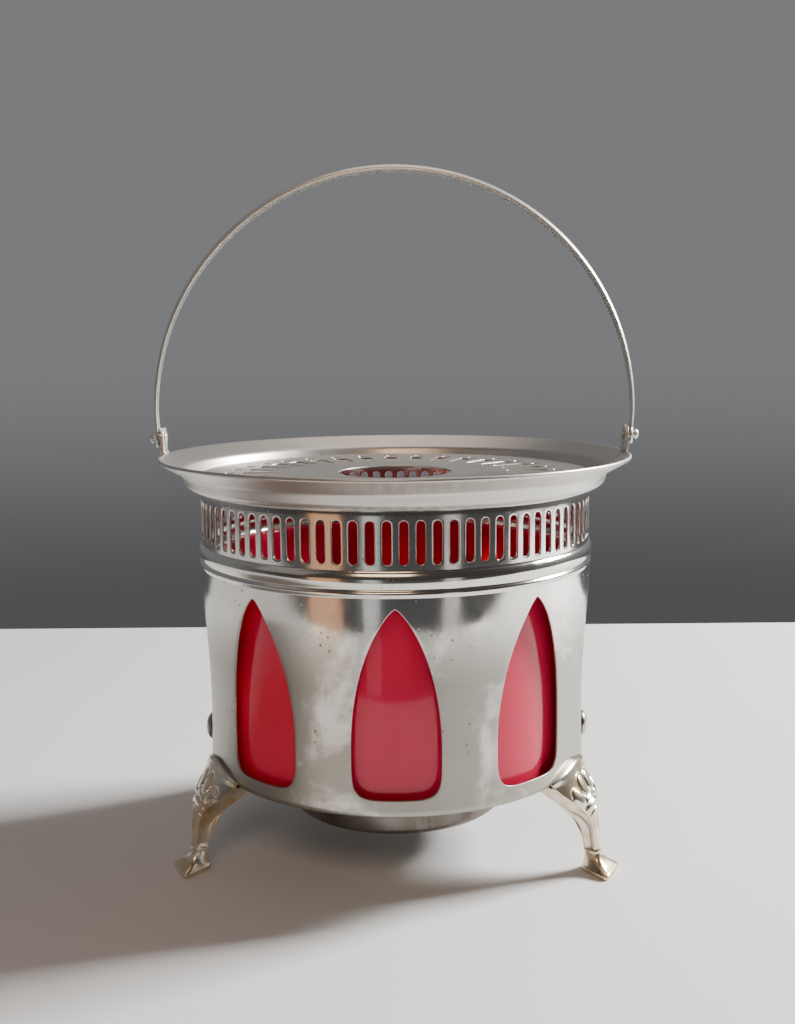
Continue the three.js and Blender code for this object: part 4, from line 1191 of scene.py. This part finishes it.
@dataclass
class Leg:
    """Cast cabriole leg: a fan over the drum's foot, a hollow knee with coved sides, an ankle
    ridge and a spade-shaped pad.

    The stations are (height, value) pairs: radius of the front and the rear, half width
    and crown of the face, then the pad's half width, inner and outer radius, taper and
    squareness. A petal is (place across, distance down, lean in degrees), and the flutes
    rise over the first two distances under the band and fade over the last two.
    """

    front: Stations = (
        (6.0, 70.75), (9.0, 70.65), (14.0, 70.45), (19.0, 69.95), (22.0, 69.25), (25.0, 67.75),
        (27.5, 66.25), (30.0, 64.85), (33.0, 63.2), (35.7, 61.8))
    half: Stations = (
        (6.0, 2.4), (9.0, 2.3), (13.0, 2.6), (16.0, 3.0), (19.0, 4.3), (22.0, 6.9), (25.0, 9.7),
        (28.5, 12.6), (32.0, 14.5))
    rear: Stations = (
        (6.0, 66.25), (9.0, 66.05), (12.0, 65.35), (15.0, 63.95), (18.0, 61.95), (21.0, 60.05),
        (24.0, 57.75), (27.0, 55.75), (29.4, 55.25))
    crown: Stations = (
        (6.0, 1.1), (13.0, 1.1), (16.0, 1.4), (19.0, 1.8), (25.0, 2.1), (28.5, 2.7), (30.0, 2.8),
        (32.0, 2.15), (35.7, 0.3))
    pad_half: Stations = (
        (0.0, 6.5), (0.3, 6.8), (1.3, 6.75), (1.7, 6.35), (2.4, 5.4), (3.4, 4.2), (4.8, 3.15),
        (6.2, 2.7), (8.0, 2.4))
    pad_inner: Stations = (
        (0.0, 65.6), (0.3, 65.35), (1.3, 65.35), (1.7, 65.45), (2.4, 65.65), (3.4, 65.85),
        (4.8, 66.0), (6.2, 66.15), (8.0, 66.1))
    pad_outer: Stations = (
        (0.0, 75.2), (0.3, 75.42), (1.3, 75.4), (1.7, 75.1), (2.4, 74.1), (3.4, 72.9), (4.8, 71.75),
        (6.2, 71.15), (8.0, 70.7))
    pad_taper: Stations = ((0.0, 0.5), (1.6, 0.5), (2.4, 0.45), (3.8, 0.3), (6.2, 0.1), (8.0, 0.0))
    pad_bend: Stations = (
        (0.0, 0.42), (1.6, 0.42), (2.4, 0.46), (3.8, 0.6), (6.2, 0.85), (8.0, 0.9))
    petals: tuple[Triple, ...] = ((2.4, 6.2, 9.0), (6.8, 7.9, 28.0))
    petal_size: Pair = (1.95, 2.9)
    petal_rise: float = 0.42
    petal_line: Pair = (1.1, 0.12)
    groove: float = 0.42
    groove_width: float = 0.33
    band: Pair = (10.7, 13.3)
    band_rise: float = 0.18
    band_edge: float = 0.7
    flutes: tuple[float, float, float, float] = (0.4, 1.4, 18.5, 21.5)
    flute_depth: float = 0.42
    flute_waves: float = 1.75
    border: Pair = (0.80, 0.93)
    drum_gap: float = 0.12
    top: float = 34.5
    drop: float = 3.2
    seat: float = 29.4
    wall: float = 1.9
    back_radius: float = 61.28
    pocket: Pair = (13.0, 27.9)
    ankle_z: float = 9.0
    stem_foot: float = 6.0
    stem_blend: Pair = (4.6, 8.8)
    row_gap: float = 0.01
    row_step: float = 0.15
    foot_rows: tuple[Triple, ...] = ((8.85, 1.95, 56), (1.85, 1.2, 9), (1.0, 0.0, 8))
    foot_middle: float = 68.4
    foot_stretch: float = 1.3
    ridge_z: float = 6.9
    ridge_half: float = 0.7
    ridge_swell: float = 0.09
    tongue_inner: float = 49.0
    tongue_half: float = 4.2
    tongue_lap: float = 1.0
    tongue_edge: float = 0.2
    tongue_scale: float = 6.0
    face_points: int = 101
    side_points: int = 26

    def relief(self, s: Array, x: Array, q: Array) -> Array:
        """Height of the ornament: four petals outlined by grooves, a cross band between two
        grooves under them and three flutes below the band, fading towards a smooth border.

        Args:
            s: Place across the face, -1 to 1.
            x: Distance from the face's middle, in millimetres.
            q: Distance down from the top edge, in millimetres.

        Returns:
            Height in millimetres, below zero in the grooves.
        """
        inside = 1 - smooth_step(*self.border, np.abs(s))
        wide, long = self.petal_size
        line, line_width = self.petal_line
        height = np.zeros_like(s)
        for centre, middle, lean in self.petals:
            turn, out, down = math.radians(lean), np.abs(x) - centre, q - middle
            across = out * math.cos(turn) + down * math.sin(turn)
            length = down * math.cos(turn) - out * math.sin(turn)
            ring = np.sqrt((across / wide) ** 2 + (length / long) ** 2)
            dome = np.clip(1 - ring**2, 0, 1) ** 0.6
            edge = np.exp(-(((ring - line) / line_width) ** 2))
            height = height + self.petal_rise * dome - self.groove * edge
        for place in self.band:
            height = height - self.groove * np.exp(-(((q - place) / self.groove_width) ** 2))
        low, high = self.band
        band = smooth_step(low, low + self.band_edge, q) * (
            1 - smooth_step(high - self.band_edge, high, q))
        start, full, fade, end = self.flutes
        flutes = smooth_step(high + start, high + full, q) * (1 - smooth_step(fade, end, q))
        waves = np.sin(np.pi * self.flute_waves * s) ** 2
        height = height + self.band_rise * band - self.flute_depth * flutes * waves
        return height * inside

    def face_row(self, z: float, drop: float, inset: float, relief: bool) -> Array:
        """Front points of a section, whose edges hang below its middle as |s|^1.5.

        Args:
            z: Height of the section's middle.
            drop: How far its edges hang.
            inset: Distance behind the leg's surface.
            relief: Whether it carries the ornament.

        Returns:
            (face_points, 3) points from left to right.
        """
        s = np.linspace(-1, 1, self.face_points)
        height = z - drop * np.abs(s) ** 1.5
        half = along(self.half, np.minimum(height, self.top - self.drop)) - inset
        radius = along(self.front, height) - along(self.crown, height) * s * s - inset
        x = s * half
        if relief:
            down = (self.top - self.drop * np.abs(s) ** 1.5) - height
            round_off = 0.4 * (1 - np.clip(down / 0.8, 0, 1)) ** 2
            radius = radius + self.relief(s, x, down) - round_off
        return beside(x, -np.sqrt(radius**2 - x**2), height)

    def side(self, edge: Array, rear: Array, cove: float) -> Array:
        """Points of one side wall, drawn in by 0.4 behind the face's edge and in front of the
        rear, with a cove 0.5 sin(pi t) deep between.

        Args:
            edge: The face's edge.
            rear: The rear's edge.
            cove: Share of the cove, zero for a straight wall.

        Returns:
            (side_points - 2, 3) points from the edge to the rear.
        """
        t = np.linspace(0, 1, self.side_points)[1:-1]
        wall = edge * (1 - t[:, None]) + rear * t[:, None]
        step = smooth_step(0.02, 0.09, t) - smooth_step(0.90, 0.98, t)
        wall[:, 0] -= np.sign(edge[0]) * cove * (0.4 * step + 0.5 * np.sin(np.pi * t))
        return wall

    def behind(self, z: float) -> float:
        """Radius of the fan's back at a height: the drum's, with a gap."""
        return float(Drum().radius(np.array(min(z, self.seat + 4.0)))) + self.drum_gap

    def section(self, z: float) -> Array:
        """Closed loop of the leg at a height: the face, the right side, the back, which is
        hollowed by the channel below the seat, and the left side."""
        part = np.clip((z - self.seat) / (self.top - self.seat), 0, 1)
        face = self.face_row(z, self.drop * part, 0.0, True)
        over = z > self.seat
        rear_r = self.behind(z) if over else float(along(self.rear, np.array(z)))
        low, high = self.pocket
        depth = float(smooth_step(low, low + 1.2, np.array(z))) if z < high else 0.0
        left, right = face[0], face[-1]
        s = np.linspace(1, -1, self.face_points)
        x = s * right[0]
        y = -np.sqrt(rear_r**2 - x**2) if over else np.full_like(x, -rear_r)
        height = right[2] + (face[len(face) // 2][2] - right[2]) * (1 - np.abs(s) ** 1.5)
        back = mixed = beside(x, y, height)
        if depth > 0:
            channel = self.face_row(min(z, self.seat), 0.0, self.wall, False)[::-1]
            channel[0, 1] = channel[-1, 1] = -rear_r
            channel[:, 2] = z
            mixed = back * (1 - depth) + channel * depth
        cove = 1 - float(smooth_step(self.seat - 3.0, self.seat - 0.2, np.array(z)))
        sides = [self.side(right, back[0], cove), self.side(left, back[-1], cove)[::-1]]
        return np.concatenate([face, sides[0], back[:1], mixed, back[-1:], sides[1]])

    def pad_ring(self, bearing: Array, z: float) -> Array:
        """Ring of the foot: an oval whose cosine and sine are bent by a power towards a
        square and whose width grows towards the outer end.

        Args:
            bearing: Direction of each point from the pad's middle.
            z: Height.

        Returns:
            A point for each bearing.
        """
        stations = (self.pad_half, self.pad_inner, self.pad_outer, self.pad_taper, self.pad_bend)
        half, inner, outer, taper, power = (float(along(knots, np.array(z))) for knots in stations)
        reach = np.sign(np.cos(bearing)) * np.abs(np.cos(bearing)) ** power
        wide = np.sign(np.sin(bearing)) * np.abs(np.sin(bearing)) ** power
        x = half * wide * (1 + taper * reach) / (1 + taper)
        y = -((inner + outer) / 2 + (outer - inner) / 2 * reach)
        return beside(x, y, z)

    def rings(self) -> Array:
        """All sections from the fan's top edge to the sole; the pocket ends between two rows."""
        seat, mouth, gap, step = self.seat, self.pocket[1], self.row_gap, self.row_step
        heights = np.concatenate([
            np.linspace(self.top, seat + gap, 54), [seat],
            np.linspace(seat - step, mouth + gap, 12), [mouth - gap],
            np.linspace(mouth - step, self.ankle_z, 126)])
        loops = [self.section(float(z)) for z in heights]
        ankle = self.section(self.ankle_z)
        bearing = np.arctan2(ankle[:, 0] * self.foot_stretch, -ankle[:, 1] - self.foot_middle)
        foot = np.concatenate([np.linspace(high, low, rows) for high, low, rows in self.foot_rows])
        for z in foot:
            pad = self.pad_ring(bearing, float(z))
            stem = self.section(float(max(z, self.stem_foot)))
            stem[:, 2] = z
            blend = float(smooth_step(*self.stem_blend, np.array(z)))
            loop = stem * blend + pad * (1 - blend)
            hump = float(bump(self.ridge_z, self.ridge_half, np.array(z)))
            swell = 1 + self.ridge_swell * hump
            middle = np.array([0.0, loop[:, 1].mean(), 0.0])
            loops.append((loop - middle) * (swell, swell, 1.0) + middle)
        return np.stack(loops)

    def tongue(self, skin: Skin) -> None:
        """Adds the flat tongue under the drum: a stadium outline swept through its thickness."""
        turn = np.linspace(0, np.pi, 20)
        centre = self.tongue_inner + self.tongue_half
        arc = beside(self.tongue_half * np.cos(turn), centre - self.tongue_half * np.sin(turn))
        far, edge = self.back_radius - self.tongue_lap, self.tongue_edge
        outline = np.concatenate([arc, [(-self.tongue_half, far), (self.tongue_half, far)]])
        outline = densify(outline, 1.5)
        low, high = self.pocket[1], self.seat
        middle = outline.mean(axis=0)
        rows = []
        for z, inset in ((low, -edge), (low + edge, 0.0), (high - edge, 0.0), (high, -edge)):
            ring = middle + (outline - middle) * (1 + inset / self.tongue_scale)
            rows.append(beside(ring[:, 0], -ring[:, 1], z))
        grid = np.stack(rows)
        skin.grid(grid, wrap_columns=True).lid(grid[0]).lid(grid[-1])

    def build(self, shop: Workshop, name: str, azimuth: float) -> None:
        """Builds and dresses the leg at an azimuth."""
        local = Skin(f"{name}_cast")
        rings = self.rings()
        local.grid(rings, wrap_columns=True)
        face = rings[0][: self.face_points]
        back = rings[0][self.face_points + self.side_points - 1:][: self.face_points][::-1]
        t = np.linspace(0, 1, self.side_points)[:, None, None]
        local.grid(face[None] * (1 - t) + back[None] * t)
        local.lid(rings[-1])
        self.tongue(local)
        local.points = [spun(points, azimuth) for points in local.points]
        shop.piece(local, Slot.CAST, "shell", name, 60.0)


@dataclass
class Rivet:
    """Round-headed rivet built along +Z from the seat of its head at z = 0."""

    head: float
    rise: float
    shank: float
    grip: float
    tail: float
    tail_rise: float
    shoulder: float = 0.0
    columns: int = 48

    def grid(self) -> Array:
        """Revolved outline: tail dome, shank, shoulder and head dome, each dome a quarter
        ellipse."""
        turn = np.linspace(0, np.pi / 2, 10)
        tail = beside(self.tail * np.sin(turn), -self.grip - self.tail_rise * np.cos(turn))
        flat = [(self.shank, -self.grip), (self.shank, 0.0)]
        if self.shoulder > 0:
            flat += [(self.head * 0.72, 0.0), (self.head * 0.72, self.shoulder)]
        dome = beside(self.head * np.cos(turn),
                      self.shoulder + (self.rise - self.shoulder) * np.sin(turn))
        return revolve(np.concatenate([tail, flat, dome]), self.columns)

    def build(self, shop: Workshop, name: str, node: str, place: Callable[[Array], Array]) -> None:
        """Builds and dresses the rivet.

        Args:
            shop: Makes the piece.
            name: Piece name.
            node: CAD node that it replaces.
            place: Moves the rivet's points to their place.
        """
        skin = Skin(name)
        skin.grid(place(self.grid()), wrap_columns=True)
        shop.piece(skin, Slot.SILVER, "shell", node, 40.0)


@dataclass
class Bail:
    """Swinging handle: a half-round strip that tapers from its crown to round flat eyes.

    Widths and thicknesses are those at the foot of the arc and at its crown.
    """

    pivot_z: float = 132.8
    arc_z: float = 140.3
    outer: float = 77.1
    widths: Pair = (4.0, 6.5)
    thicknesses: Pair = (1.2, 2.1)
    eye_x: float = 75.6
    eye_radius: float = 3.0
    arc_steps: int = 160

    def section(self) -> Array:
        """Half-round section: (share of half width, depth share), flat inside, with its
        outer side on 1 - |y|^2.4 and rounded corners."""
        corners = [(-1.0, 1.0, 0.12), (-1.0, 0.62, 0.25), (-0.55, 0.12, 0.35), (0.0, 0.0, 0.3),
                   (0.55, 0.12, 0.35), (1.0, 0.62, 0.25), (1.0, 1.0, 0.12)]
        return densify(filleted(corners, 3), 0.16)

    def half_path(self) -> Array:
        """Rows of (outer x, outer z, lean, width, thickness) from the foot to the crown."""
        foot = self.pivot_z - self.eye_radius
        drop = np.concatenate([foot + self.eye_radius * (1 - np.cos(np.linspace(0, np.pi / 2, 16))),
                               np.linspace(self.pivot_z + 0.3, self.arc_z - 0.4, 18)])
        (foot_width, crown_width), (foot_thick, crown_thick) = self.widths, self.thicknesses
        x = np.interp(drop, [self.pivot_z + 2.0, self.arc_z], [self.eye_x + foot_thick, self.outer])
        circle = np.sqrt(np.clip(self.eye_radius**2 - (drop - self.pivot_z) ** 2, 0.0004, None)) * 2
        width = np.maximum(circle, np.where(drop > self.pivot_z, foot_width, 0.0))
        lower = beside(x, drop, np.pi / 2, width, foot_thick)
        lean = np.linspace(np.pi / 2, 0, self.arc_steps // 2 + 1)
        rise = np.cos(lean)
        upper = beside(self.outer * np.sin(lean), self.arc_z + self.outer * rise, lean,
                       foot_width + (crown_width - foot_width) * rise,
                       foot_thick + (crown_thick - foot_thick) * rise)
        return np.concatenate([lower, upper])

    def build(self, shop: Workshop) -> None:
        """Builds and dresses the bail."""
        half = self.half_path()
        mirrored = half[::-1][1:] * (-1, 1, -1, 1, 1)
        path = np.concatenate([half, mirrored])
        section = self.section()
        x, z, lean, width, thick = (path[:, i, None] for i in range(5))
        inward = section[None, :, 1] * thick
        px = x - np.sin(lean) * inward
        pz = z - np.cos(lean) * inward
        py = section[None, :, 0] * width / 2
        grid = beside(px, py, pz)
        skin = Skin("bail_strip")
        skin.grid(grid, wrap_columns=True).lid(grid[0]).lid(grid[-1])
        shop.piece(skin, Slot.SILVER, "bail", "bail", 50.0)


@dataclass
class Lug:
    """Bent strip that carries a bail pivot: a foot on the flare and a round-topped upright."""

    inner_x: float = 73.7
    thick: float = 1.2
    half: float = 3.3
    pivot_z: float = 132.8
    step: float = 0.2
    end_share: float = 0.82
    edge: float = 0.25
    bend: tuple[Pair, ...] = (
        (73.3, 127.9), (73.85, 128.02), (74.2, 128.45), (74.3, 129.1), (74.3, 130.2), (74.3, 132.8))

    def build(self, shop: Workshop, side: int, name: str, node: str) -> None:
        """Builds and dresses the lug on one side: a flat section carried along the strip's
        middle line, whose half width is a circle's at its top end.

        Args:
            side: 1 for +X, -1 for -X.
            name: Piece name.
            node: CAD node that it replaces.
        """
        middle = self.inner_x + self.thick / 2
        line = polyline(self.bend, self.step)
        turn = np.linspace(0, np.pi / 2, 14)[1:]
        cap_z = self.pivot_z + self.half * np.sin(turn)
        line = np.concatenate([line, beside(middle, cap_z)])
        rise = np.clip(line[:, 1] - self.pivot_z, 0, self.half)
        half = np.sqrt(np.clip(self.half**2 - rise**2, 0.0025, None))
        ends = np.minimum(np.arange(len(line)) * self.step, 1.0)
        half = half * (self.end_share + (1 - self.end_share) * np.sqrt(ends))
        tangent = np.gradient(line, axis=0)
        tangent /= np.linalg.norm(tangent, axis=1, keepdims=True)
        normal = beside(-tangent[:, 1], tangent[:, 0])
        corners = [(x, y, self.edge) for x, y in ((-1, -1), (1, -1), (1, 1), (-1, 1))]
        unit = densify(filleted(corners, 3), 0.3)
        deep = unit[None, :, 1] * self.thick / 2
        px = line[:, :1] + normal[:, :1] * deep
        pz = line[:, 1:] + normal[:, 1:] * deep
        py = unit[None, :, 0] * half[:, None]
        grid = beside(px * side, py, pz)
        skin = Skin(name)
        skin.grid(grid, wrap_columns=True).lid(grid[0]).lid(grid[-1])
        shop.piece(skin, Slot.SILVER, "shell", node, 40.0)


@dataclass
class TeaLight:
    """Tea light: a drawn cup, wax with a pool dished round the wick, sustainer and wick.

    The pool is (distance in from the wax's edge or out from the axis, depth, rounding).
    """

    radius: float = 19.0
    foot: float = 13.9
    height: float = 16.0
    sheet: float = 0.5
    wax_foot: float = 14.7
    wax_depth: float = 12.0
    wax_gap: float = 0.3
    pool_edge: Triple = (3.0, 0.35, 1.0)
    pool_middle: Triple = (5.0, 0.7, 2.0)
    pool_bore: float = 0.5
    pocket: float = 1.4
    wick: float = 0.86
    wick_rise: float = 7.0
    sustainer: float = 6.5
    columns: int = 96

    def turn(self, shop: Workshop, name: str, slot: Slot, node: str,
             corners: Sequence[Triple]) -> None:
        """Builds and dresses one turned piece.

        Args:
            shop: Makes the piece.
            name: Piece name.
            slot: Material slot.
            node: CAD node that it replaces.
            corners: (radius, height, rounding) of its outline; a solid piece starts and
                ends on the axis.
        """
        outline = densify(filleted(corners, 4), 1.2)
        on_axis = corners[0][0] == 0.0
        if on_axis:
            outline = outline[: int(np.flatnonzero(outline[:, 0] > 0)[-1]) + 2]
        skin = Skin(name)
        skin.grid(revolve(outline, self.columns), wrap_rows=not on_axis, wrap_columns=True)
        shop.piece(skin, slot, "candle", node, 45.0)

    def build(self, shop: Workshop) -> None:
        """Builds and dresses the four pieces."""
        r, top, inner = self.radius, self.foot + self.height, self.radius - self.sheet
        floor = self.foot + self.sheet
        cup = [(0.0, self.foot, 0), (r, self.foot, 1.2), (r, top, 0.2), (inner, top, 0.2),
               (inner, floor, 1.0), (0.0, floor, 0)]
        self.turn(shop, "tealight_cup", Slot.FOIL, "candle_cup", cup)
        wax_r, bore, hollow = (inner - self.wax_gap, self.wick + self.wax_gap,
                               self.sustainer + self.wax_gap)
        wax_top, pocket = self.wax_foot + self.wax_depth, self.wax_foot + self.pocket
        edge_in, edge_deep, edge_round = self.pool_edge
        middle, deep, rounding = self.pool_middle
        wax = [(hollow, self.wax_foot, 0), (wax_r, self.wax_foot, 0.9), (wax_r, wax_top, 0.5),
               (wax_r - edge_in, wax_top - edge_deep, edge_round),
               (middle, wax_top - deep, rounding), (bore, wax_top - self.pool_bore, 0.2),
               (bore, pocket, 0.1), (hollow, pocket, 0.1)]
        self.turn(shop, "tealight_wax", Slot.WAX, "candle_wax", wax)
        hold = [(self.wick + 0.12, self.wax_foot, 0), (self.sustainer, self.wax_foot, 0.1),
                (self.sustainer, self.wax_foot + 0.4, 0.1), (self.wick + 0.4, pocket - 0.3, 0.1),
                (self.wick + 0.12, pocket - 0.3, 0)]
        self.turn(shop, "tealight_sustainer", Slot.FOIL, "wick_sustainer", hold)
        tip = wax_top + self.wick_rise
        wick = [(0.0, self.wax_foot, 0), (self.wick, self.wax_foot, 0.1),
                (self.wick, tip, 0.4), (0.0, tip, 0)]
        self.turn(shop, "tealight_wick", Slot.COTTON, "candle_wick", wick)


@dataclass(frozen=True)
class Lamp:
    """A rectangular soft light that faces a point; places and sizes are in metres."""

    name: str
    place: Triple
    size: Pair
    watts: float
    colour: Triple
    aim: Triple = (0.0, 0.0, 0.08)

    def build(self) -> bpy.types.Object:
        """Adds the light and returns its object."""
        data = bpy.data.lights.new(self.name, "AREA")
        data.shape, data.size, data.size_y = "RECTANGLE", self.size[0], self.size[1]
        data.energy, data.color = self.watts, self.colour
        lamp = bpy.data.objects.new(self.name, data)
        away = np.array(self.place, float) - np.array(self.aim, float)
        yaw = math.atan2(away[0], -away[1])
        tilt = math.atan2(math.hypot(away[0], away[1]), away[2])
        lamp.rotation_euler = (tilt, 0.0, yaw)
        lamp.location = self.place
        bpy.context.scene.collection.objects.link(lamp)
        return lamp


@dataclass(frozen=True)
class Panel:
    """A weak upright panel that stands on the floor and is seen only as a reflection."""

    name: str
    azimuth_deg: float
    size: Pair
    watts: float
    colour: Triple
    reach: float = 0.26

    def build(self) -> None:
        """Adds the panel as a lamp that faces the axis."""
        turn, middle = math.radians(self.azimuth_deg), self.size[1] / 2
        place = (self.reach * math.sin(turn), -self.reach * math.cos(turn), middle)
        lamp = Lamp(self.name, place, self.size, self.watts, self.colour, (0.0, 0.0, middle))
        lamp.build().visible_camera = False


@dataclass
class Studio:
    """Pale floor, soft lights, the room and the camera."""

    focal_px: float = 1112.0
    sensor_mm: float = 36.0
    camera_mm: Triple = (1.27, -357.93, 160.17)
    pitch_deg: float = 8.293
    roll_deg: float = 0.493
    floor_side: float = 0.75
    floor_front: float = -0.245
    floor_back: float = 0.278
    floor_tones: tuple[Colour, Colour] = (rgba(0.70, 0.71, 0.72), rgba(0.76, 0.76, 0.765))
    room_front: Colour = rgba(0.056, 0.052, 0.050)
    room_back: Colour = rgba(0.20, 0.20, 0.21)
    room_low: Colour = rgba(0.085, 0.085, 0.09)
    front_to_back: Pair = (-0.5, 0.4)
    low_to_level: Pair = (-0.22, 0.0)
    lamps: tuple[Lamp, ...] = (
        Lamp("window", (1.3, 0.45, 0.85), (0.42, 0.42), 92.0, (1.0, 0.985, 0.955)),
        Lamp("left_fill", (-0.95, -0.4, 0.7), (0.7, 0.7), 0.3, (1.0, 0.90, 0.82)),
        Lamp("front_card", (-0.1, -0.85, 0.75), (0.5, 0.3), 2.0, (1.0, 0.70, 0.48)))
    overhead: Lamp = Lamp("overhead", (0.1, 0.25, 1.2), (0.9, 0.9), 3.0, (1.0, 0.87, 0.74))
    panels: tuple[Panel, ...] = (
        Panel("warm_panel", -34.7, (0.072, 0.12), 0.022, (1.0, 0.50, 0.25)),
        Panel("pale_panel", -11.7, (0.036, 0.11), 0.009, (0.93, 0.97, 1.0)),
        Panel("right_panel", 27.7, (0.036, 0.11), 0.009, (1.0, 0.97, 0.93)))

    def camera(self) -> None:
        """Camera at the photograph's viewpoint."""
        data = bpy.data.cameras.new("camera")
        data.sensor_fit = "AUTO"
        data.sensor_width = self.sensor_mm
        data.lens = self.sensor_mm * self.focal_px / max(IMAGE_WIDTH, IMAGE_HEIGHT)
        data.clip_start, data.clip_end = 0.01, 20.0
        camera = bpy.data.objects.new("camera", data)
        camera.location = [value * MM for value in self.camera_mm]
        tilt, roll = math.radians(90 - self.pitch_deg), math.radians(self.roll_deg)
        camera.rotation_euler = (tilt, roll, 0.0)
        bpy.context.scene.collection.objects.link(camera)
        bpy.context.scene.camera = camera

    def floor(self) -> None:
        """Plain pale floor, with its edges where the photograph's surface ends."""
        side, front, back = self.floor_side, self.floor_front, self.floor_back
        mesh = bpy.data.meshes.new("floor")
        corners = [(-side, front, 0), (side, front, 0), (side, back, 0), (-side, back, 0)]
        mesh.from_pydata(corners, [], [(0, 1, 2, 3)])
        paint = material_paint("floor")
        tone = paint.noise(6.0, 3.0)
        colour = paint.mix(tone, *self.floor_tones)
        mesh.materials.append(paint.principled(Base_Color=colour, Roughness=tone * 0.1 + 0.6))
        plane = bpy.data.objects.new("floor", mesh)
        bpy.context.scene.collection.objects.link(plane)

    def lights(self) -> None:
        """Strong soft light from the right and behind, weak fills and low panels; the one
        overhead shows only in the metal."""
        for lamp in (*self.lamps, *self.panels):
            lamp.build()
        self.overhead.build().visible_diffuse = False

    def room(self) -> None:
        """Background light: dark in front and low down, lighter behind."""
        world = bpy.data.worlds.new("room")
        bpy.context.scene.world = world
        paint = Paint(world)
        way = paint.node("ShaderNodeTexCoord", {}, {}, "Generated")
        back = paint.node("ShaderNodeSeparateXYZ", {}, {0: way}, "Y").within(*self.front_to_back)
        level = paint.node("ShaderNodeSeparateXYZ", {}, {0: way}, "Z").within(*self.low_to_level)
        around = paint.mix(back, self.room_front, self.room_back)
        colour = paint.mix(level, self.room_low, around)
        shader = paint.node("ShaderNodeBackground", {}, {"Color": colour})
        paint.close("ShaderNodeOutputWorld", shader)

    def build(self) -> None:
        """Sets the whole stage."""
        self.camera()
        self.floor()
        self.lights()
        self.room()


class Side(Enum):
    """The two pivot sides."""

    RIGHT = 1
    LEFT = -1


def build_rivets(shop: Workshop) -> None:
    """Builds the side, leg and pivot rivets at their seats."""
    for side in Side:
        azimuth, word = 90.0 * side.value, side.name.lower()
        dome = Rivet(head=4.3, rise=2.1, shank=1.2, grip=2.65, tail=2.2, tail_rise=0.4)
        dome.build(shop, f"side_dome_{word}", f"side_rivet_{word}",
                   lambda grid, a=azimuth: lay_over(grid, a, *SIDE_SEAT))
        pin = Rivet(head=1.7, rise=1.6, shank=1.1, grip=3.6, tail=1.7, tail_rise=0.4, shoulder=0.35)
        pin.build(shop, f"pivot_pin_{word}", f"pivot_rivet_{word}",
                  lambda grid, a=azimuth: lay_over(grid, a, *PIVOT_SEAT))
    for word, azimuth in LEG_PLACES:
        stud = Rivet(head=2.6, rise=1.1, shank=1.5, grip=3.1, tail=2.6, tail_rise=1.1)
        stud.build(shop, f"stud_{word}", f"leg_{word}_rivet",
                   lambda grid, a=azimuth: spun(grid + (0.0, -STUD_SEAT[0], STUD_SEAT[1]), a))


def main() -> None:
    """Builds every sub-assembly in order."""
    logging.basicConfig(level=logging.INFO, format="%(name)s: %(message)s", force=True)
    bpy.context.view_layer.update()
    Studio().build()
    shop = Workshop()
    Collar().build(shop)
    Drum().build(shop)
    TopPlate().build(shop)
    GlassLiner().build(shop)
    Pan().build(shop)
    leg = Leg()
    for word, azimuth in LEG_PLACES:
        leg.build(shop, f"leg_{word}", azimuth)
    build_rivets(shop)
    Bail().build(shop)
    for side in Side:
        word = side.name.lower()
        Lug().build(shop, side.value, f"pivot_lug_{word}", f"bail_lug_{word}")
    TeaLight().build(shop)


if __name__ == "__main__":
    main()
